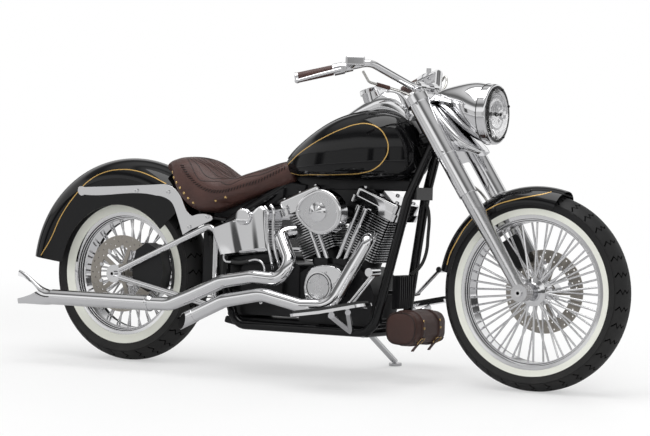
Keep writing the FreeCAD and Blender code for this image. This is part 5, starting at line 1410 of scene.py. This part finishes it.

# %% [markdown]
# Dark plates and housings close the view through a real machine: the backbone with its wiring under
# the tank, mounts beside the engine, trays and a pan around the gearbox, and guards by the rear wheel
# and under the seat. They stand for frame parts and wiring, and their black is also painted shade in the
# gaps where shade falls. Each is a slab whose corners are moved to drawn places and whose edges are then
# bevelled. A loom and a cable join them.

# %% Dark carriers under the tank, oil tank and gearbox, partly painted shade
# each slab's half width, bevel and corners
SHADE_CARRIERS = {
    "backbone_carrier": (34, 8, [(700, 672), (760, 690), (1215, 676), (1215, 716), (1000, 724), (720, 722)]),
    "gearbox_tray": (104, 5, [(478, 384), (700, 400), (712, 425), (690, 440), (500, 414), (470, 410)]),
    "lower_pan": (84, 6, [(474, 172), (560, 156), (860, 156), (900, 172), (880, 196), (480, 196)]),
    "engine_mount": (30, 6, [(872, 560), (985, 560), (1004, 640), (1000, 692), (860, 692), (862, 610)]),
    "rear_engine_mount": (44, 6, [(690, 640), (780, 652), (790, 690), (700, 700), (640, 664)]),
    "gearbox_bridge": (62, 6, [(474, 196), (600, 196), (600, 402), (474, 392)]),
    "wheel_guard": (58, 8, [(353, 296), (478, 280), (478, 530), (410, 540), (353, 500)]),
    "under_seat_tray": (60, 6, [(396, 548), (560, 556), (700, 640), (704, 676), (600, 652), (480, 600),
                                (404, 590)]),
}
LOOM = [(1246, 26, 640), (1262, 20, 600), (1264, 16, 520), (1258, 12, 450), (1236, 8, 404), (1206, 6, 380)]
THROTTLE_CABLE = [(1234, -30, 664), (1240, -44, 690), (1226, -60, 720)]


# Each slab stands for a frame part and is also painted shade: its black fills a gap where shade falls.
def carrier(name, half, bevel, corners):
    """A bevelled slab from drawn (x, z) corners, as wide as its half on both sides of the middle."""
    fresh()
    count = len(corners)
    bpy.ops.mesh.primitive_cylinder_add(vertices=count, radius=1, depth=2)
    slab = bpy.context.object
    middle_x = sum(x for x, z in corners) / count
    middle_z = sum(z for x, z in corners) / count
    ordered = sorted(corners, key=lambda c: math.atan2(c[1] - middle_z, c[0] - middle_x))
    vertices = sorted(slab.data.vertices, key=lambda v: (v.co.z > 0, math.atan2(v.co.y, v.co.x)))
    for index, vertex in enumerate(vertices):
        x, z = ordered[index % count]
        vertex.co = drawn(x, half if index >= count else -half, z)
    modified(slab, "BEVEL", width=bevel / 1000, segments=3)
    return done(on_whole(slab, OUTWARDS), name, black_satin, "chassis")


for name, measures in SHADE_CARRIERS.items():
    carrier(name, *measures)
tube("wiring_loom", LOOM, 6, black_rubber, "chassis")
tube("throttle_cable", THROTTLE_CABLE, 4.5, black_rubber, "chassis")

# %% [markdown]
# The lower pipe ends in a slanted mouth that is black inside. An open cylinder is cut with a slanting
# plane, gets a wall, and its inner faces take the soot. A black ring of painted shade in the gap and a
# bright rim go around the cam cover's plate, and the air cleaner's middle is a polished cone.

# %% Slanted exhaust mouth, cam plate rim and air cleaner cone
PIPE_END, PIPE_WAY = Vector((430, -246, 192)), Vector((-0.906, 0, -0.423))
MOUTH_RADIUS, MOUTH_WALL, MOUTH_REACH, MOUTH_OVERLAP = 26.4, 2.2, 36, 26
STOCK_LENGTH, STOCK_MIDDLE, SOOT_EDGE = 160, 40, 1.6
MOUTH_CUT = Vector((-0.64, -0.77, 0))
# The first ring is black satin: painted shade in the gap around the plate.
CAM_RINGS = [("cam_plate_shade_ring", 0.0440, 0.0475, 170.8, black_satin, "black_paint"),
             ("cam_plate_rim", 0.0475, 0.0525, 171.6, chrome, "chrome")]
CONE = [(0.0335, -0.002), (0.0335, 0.002), (0.032, 0.0034), (0.0012, 0.0236), (0.0006, 0.0238)]
fresh()
bpy.ops.mesh.primitive_cylinder_add(vertices=48, radius=MOUTH_RADIUS / 1000, depth=STOCK_LENGTH / 1000,
                                    end_fill_type="NOTHING")
mouth = bpy.context.object
mouth.matrix_world = standing(PIPE_END + PIPE_WAY * STOCK_MIDDLE, PIPE_WAY)
bpy.ops.object.transform_apply(location=True, rotation=True, scale=True)
for reach, way in ((MOUTH_REACH, MOUTH_CUT), (-MOUTH_OVERLAP, -PIPE_WAY)):
    cut = {"plane_co": drawn(*(PIPE_END + PIPE_WAY * reach)), "plane_no": MACHINE.to_3x3() @ way,
           "clear_outer": True}
    on_whole(mouth, (bpy.ops.mesh.bisect, cut))
modified(mouth, "SOLIDIFY", thickness=MOUTH_WALL / 1000, offset=-1)
done(mouth, "exhaust_mouth", chrome, "chassis")
mouth.data.materials.append(soot)
for face in mouth.data.polygons:
    place = UPRIGHT @ face.center * 1000 - PIPE_END
    if (place - place.dot(PIPE_WAY) * PIPE_WAY).length < MOUTH_RADIUS - SOOT_EDGE:
        face.material_index = 1
for label, inner, outer, side, material, slot in CAM_RINGS:
    put(ring_model(inner, outer, 0.003, 64), standing((CAM_X, -side, CAM_Z), OUT_RIGHT), label, material,
        "chassis")
put(turned_model(CONE, 64), standing((AIR_X, -253, AIR_Z), OUT_RIGHT), "air_cleaner_cone", chrome, "chassis",
    25)

# %% [markdown]
# The speedometer's face is seen from the rider's seat: ivory, with a ring of marks, plain numbers in
# steps of twenty, a red needle and a flat glass.

# %% Speedometer
DIAL_UP = Vector((-25, 0, 92)).normalized()
DIAL_PLACE = Vector((1039, 0, 1032))
DIAL_RADIUS = 45.5
DIAL_SWEEP, DIAL_STEP, DIAL_FINE = 271, 45, 9
SPEED_STEP = 20
FACE_HEIGHT, MARK_HEIGHT, NEEDLE_HEIGHT, GLASS_HEIGHT, RIM_HEIGHT = 3.2, 4.2, 5.4, 7.4, 7.6
MARK_REACH, NUMBER_REACH, NEEDLE_REACH = 39.5, 29, 14
MARK_SIZE, SMALL_MARK_SIZE, NEEDLE_SIZE = (6.5, 1.6, 0.5), (3.6, 0.8, 0.5), (32, 1.5, 0.6)
NUMBER_SIZE, NUMBER_DEPTH = 0.0095, 0.0002


def on_dial(turn, reach, height):
    """A matrix on the dial: turn in degrees clockwise from the low left, reach in mm."""
    angle = math.radians(225 - turn)
    way = Vector((0, -1, 0)) * math.cos(angle) + Vector((0, 1, 0)).cross(DIAL_UP) * math.sin(angle)
    return standing(DIAL_PLACE + way * reach + DIAL_UP * height, DIAL_UP, way)


def dial_box():
    """A cube of one millimetre, to be stretched into a mark or a needle."""
    fresh()
    bpy.ops.mesh.primitive_cube_add(size=0.001)
    return bpy.context.object


put(turned_model([(DIAL_RADIUS / 1000, 0.0), (DIAL_RADIUS / 1000, 0.0008)], 64), on_dial(0, 0, FACE_HEIGHT),
    "speedo_face", ivory, "chassis")
mark = dial_box()
fine_turns = [turn for turn in range(0, DIAL_SWEEP, DIAL_FINE) if turn % DIAL_STEP]
for label, turns, size in (("speedo_marks", range(0, DIAL_SWEEP, DIAL_STEP), MARK_SIZE),
                           ("speedo_small_marks", fine_turns, SMALL_MARK_SIZE)):
    copies(mark, [on_dial(turn, MARK_REACH, MARK_HEIGHT) @ Matrix.Diagonal((*size, 1)) for turn in turns],
           label, soot, "chassis")
removed(mark)
upright = standing((0, 0, 0), DIAL_UP, (0, -1, 0)).to_3x3().to_4x4()
digits = []
for index, turn in enumerate(range(0, DIAL_SWEEP, DIAL_STEP)):
    fresh()
    bpy.ops.object.text_add()
    text = bpy.context.object
    text.data.body = str(index * SPEED_STEP)
    text.data.size = NUMBER_SIZE
    text.data.extrude = NUMBER_DEPTH
    text.data.align_x = text.data.align_y = "CENTER"
    text.matrix_world = Matrix.Translation(on_dial(turn, NUMBER_REACH, MARK_HEIGHT).translation) @ upright
    bpy.ops.object.convert(target="MESH")
    digits.append(bpy.context.object)
done(joined(digits), "speedo_numbers", soot, "chassis")
put(turned_model([(0.0045, 0.0), (0.0045, 0.002), (0.003, 0.0026)], 24), on_dial(0, 0, MARK_HEIGHT),
    "speedo_pivot", chrome, "chassis")
put(dial_box(), on_dial(0, NEEDLE_REACH, NEEDLE_HEIGHT) @ Matrix.Diagonal((*NEEDLE_SIZE, 1)),
    "speedo_needle", red_paint, "chassis")
put(turned_model([(DIAL_RADIUS / 1000, 0.0), (DIAL_RADIUS / 1000, 0.0012)], 64), on_dial(0, 0, GLASS_HEIGHT),
    "speedo_glass", glass, "chassis")
put(ring_model(0.0448, 0.0535, 0.003, 64), on_dial(0, 0, RIM_HEIGHT), "speedo_rim", chrome, "chassis")

# %% [markdown]
# Rubber pads on the footboards carry long ribs, and rubber beads seal both sides of the tank's console.
# Each rib and bead is a ribbon dropped from above.

# %% Footboard ribs and rubber edge of the console
RIB_COUNT, RIB_POINTS, RIB_INSET, RIB_LEAST = 6, 17, 0.06, 8
LEVEL_ENOUGH = 0.6
CONSOLE_SIDE, CONSOLE_FROM, CONSOLE_TO, CONSOLE_STEP = 0.046, 700, 1090, 12
OVER_BOARDS, OVER_TANK = 0.35, 1.4
pad_tree = surface_of(nodes["footboard_pads"])
pad_points = [UPRIGHT @ v.co for v in nodes["footboard_pads"].data.vertices]
ribs = 0
for sign in (-1, 1):
    pad = [v for v in pad_points if v.y * sign > 0]
    low_x, high_x = min(v.x for v in pad), max(v.x for v in pad)
    inner, outer = min(abs(v.y) for v in pad), max(abs(v.y) for v in pad)
    for k in range(RIB_COUNT):
        side = sign * (inner + (outer - inner) * (k + 0.75) / (RIB_COUNT + 0.5))
        shares = [RIB_INSET + (1 - 2 * RIB_INSET) * n / (RIB_POINTS - 1) for n in range(RIB_POINTS)]
        places = [(low_x + (high_x - low_x) * share, side, OVER_BOARDS) for share in shares]
        points, outwards = cast(pad_tree, places, (0, 0, -1))
        flat = [n for n, outward in enumerate(outwards) if outward.z > LEVEL_ENOUGH]
        if len(flat) > RIB_LEAST:
            ribbon(f"footboard_rib_{ribs}", [points[n] for n in flat], [outwards[n] for n in flat], 6, 2.4,
                   black_rubber, "chassis", "black_rubber", sunk=0.8)
            ribs += 1
print("footboard ribs:", ribs)
tank_tree = surface_of(nodes["fuel_tank"])
for sign, label in ((-1, "right"), (1, "left")):
    places = [(x / 1000, sign * CONSOLE_SIDE, OVER_TANK)
              for x in range(CONSOLE_FROM, CONSOLE_TO, CONSOLE_STEP)]
    ribbon(f"console_edge_{label}", *cast(tank_tree, places, (0, 0, -1)), 9, 3.5, black_rubber, "chassis",
           "black_rubber", sunk=0.8)

# %% [markdown]
# The screws that were copied aren't part of the machine, so they go.

# %% Remove the screw models
removed(screw_small, screw_large)
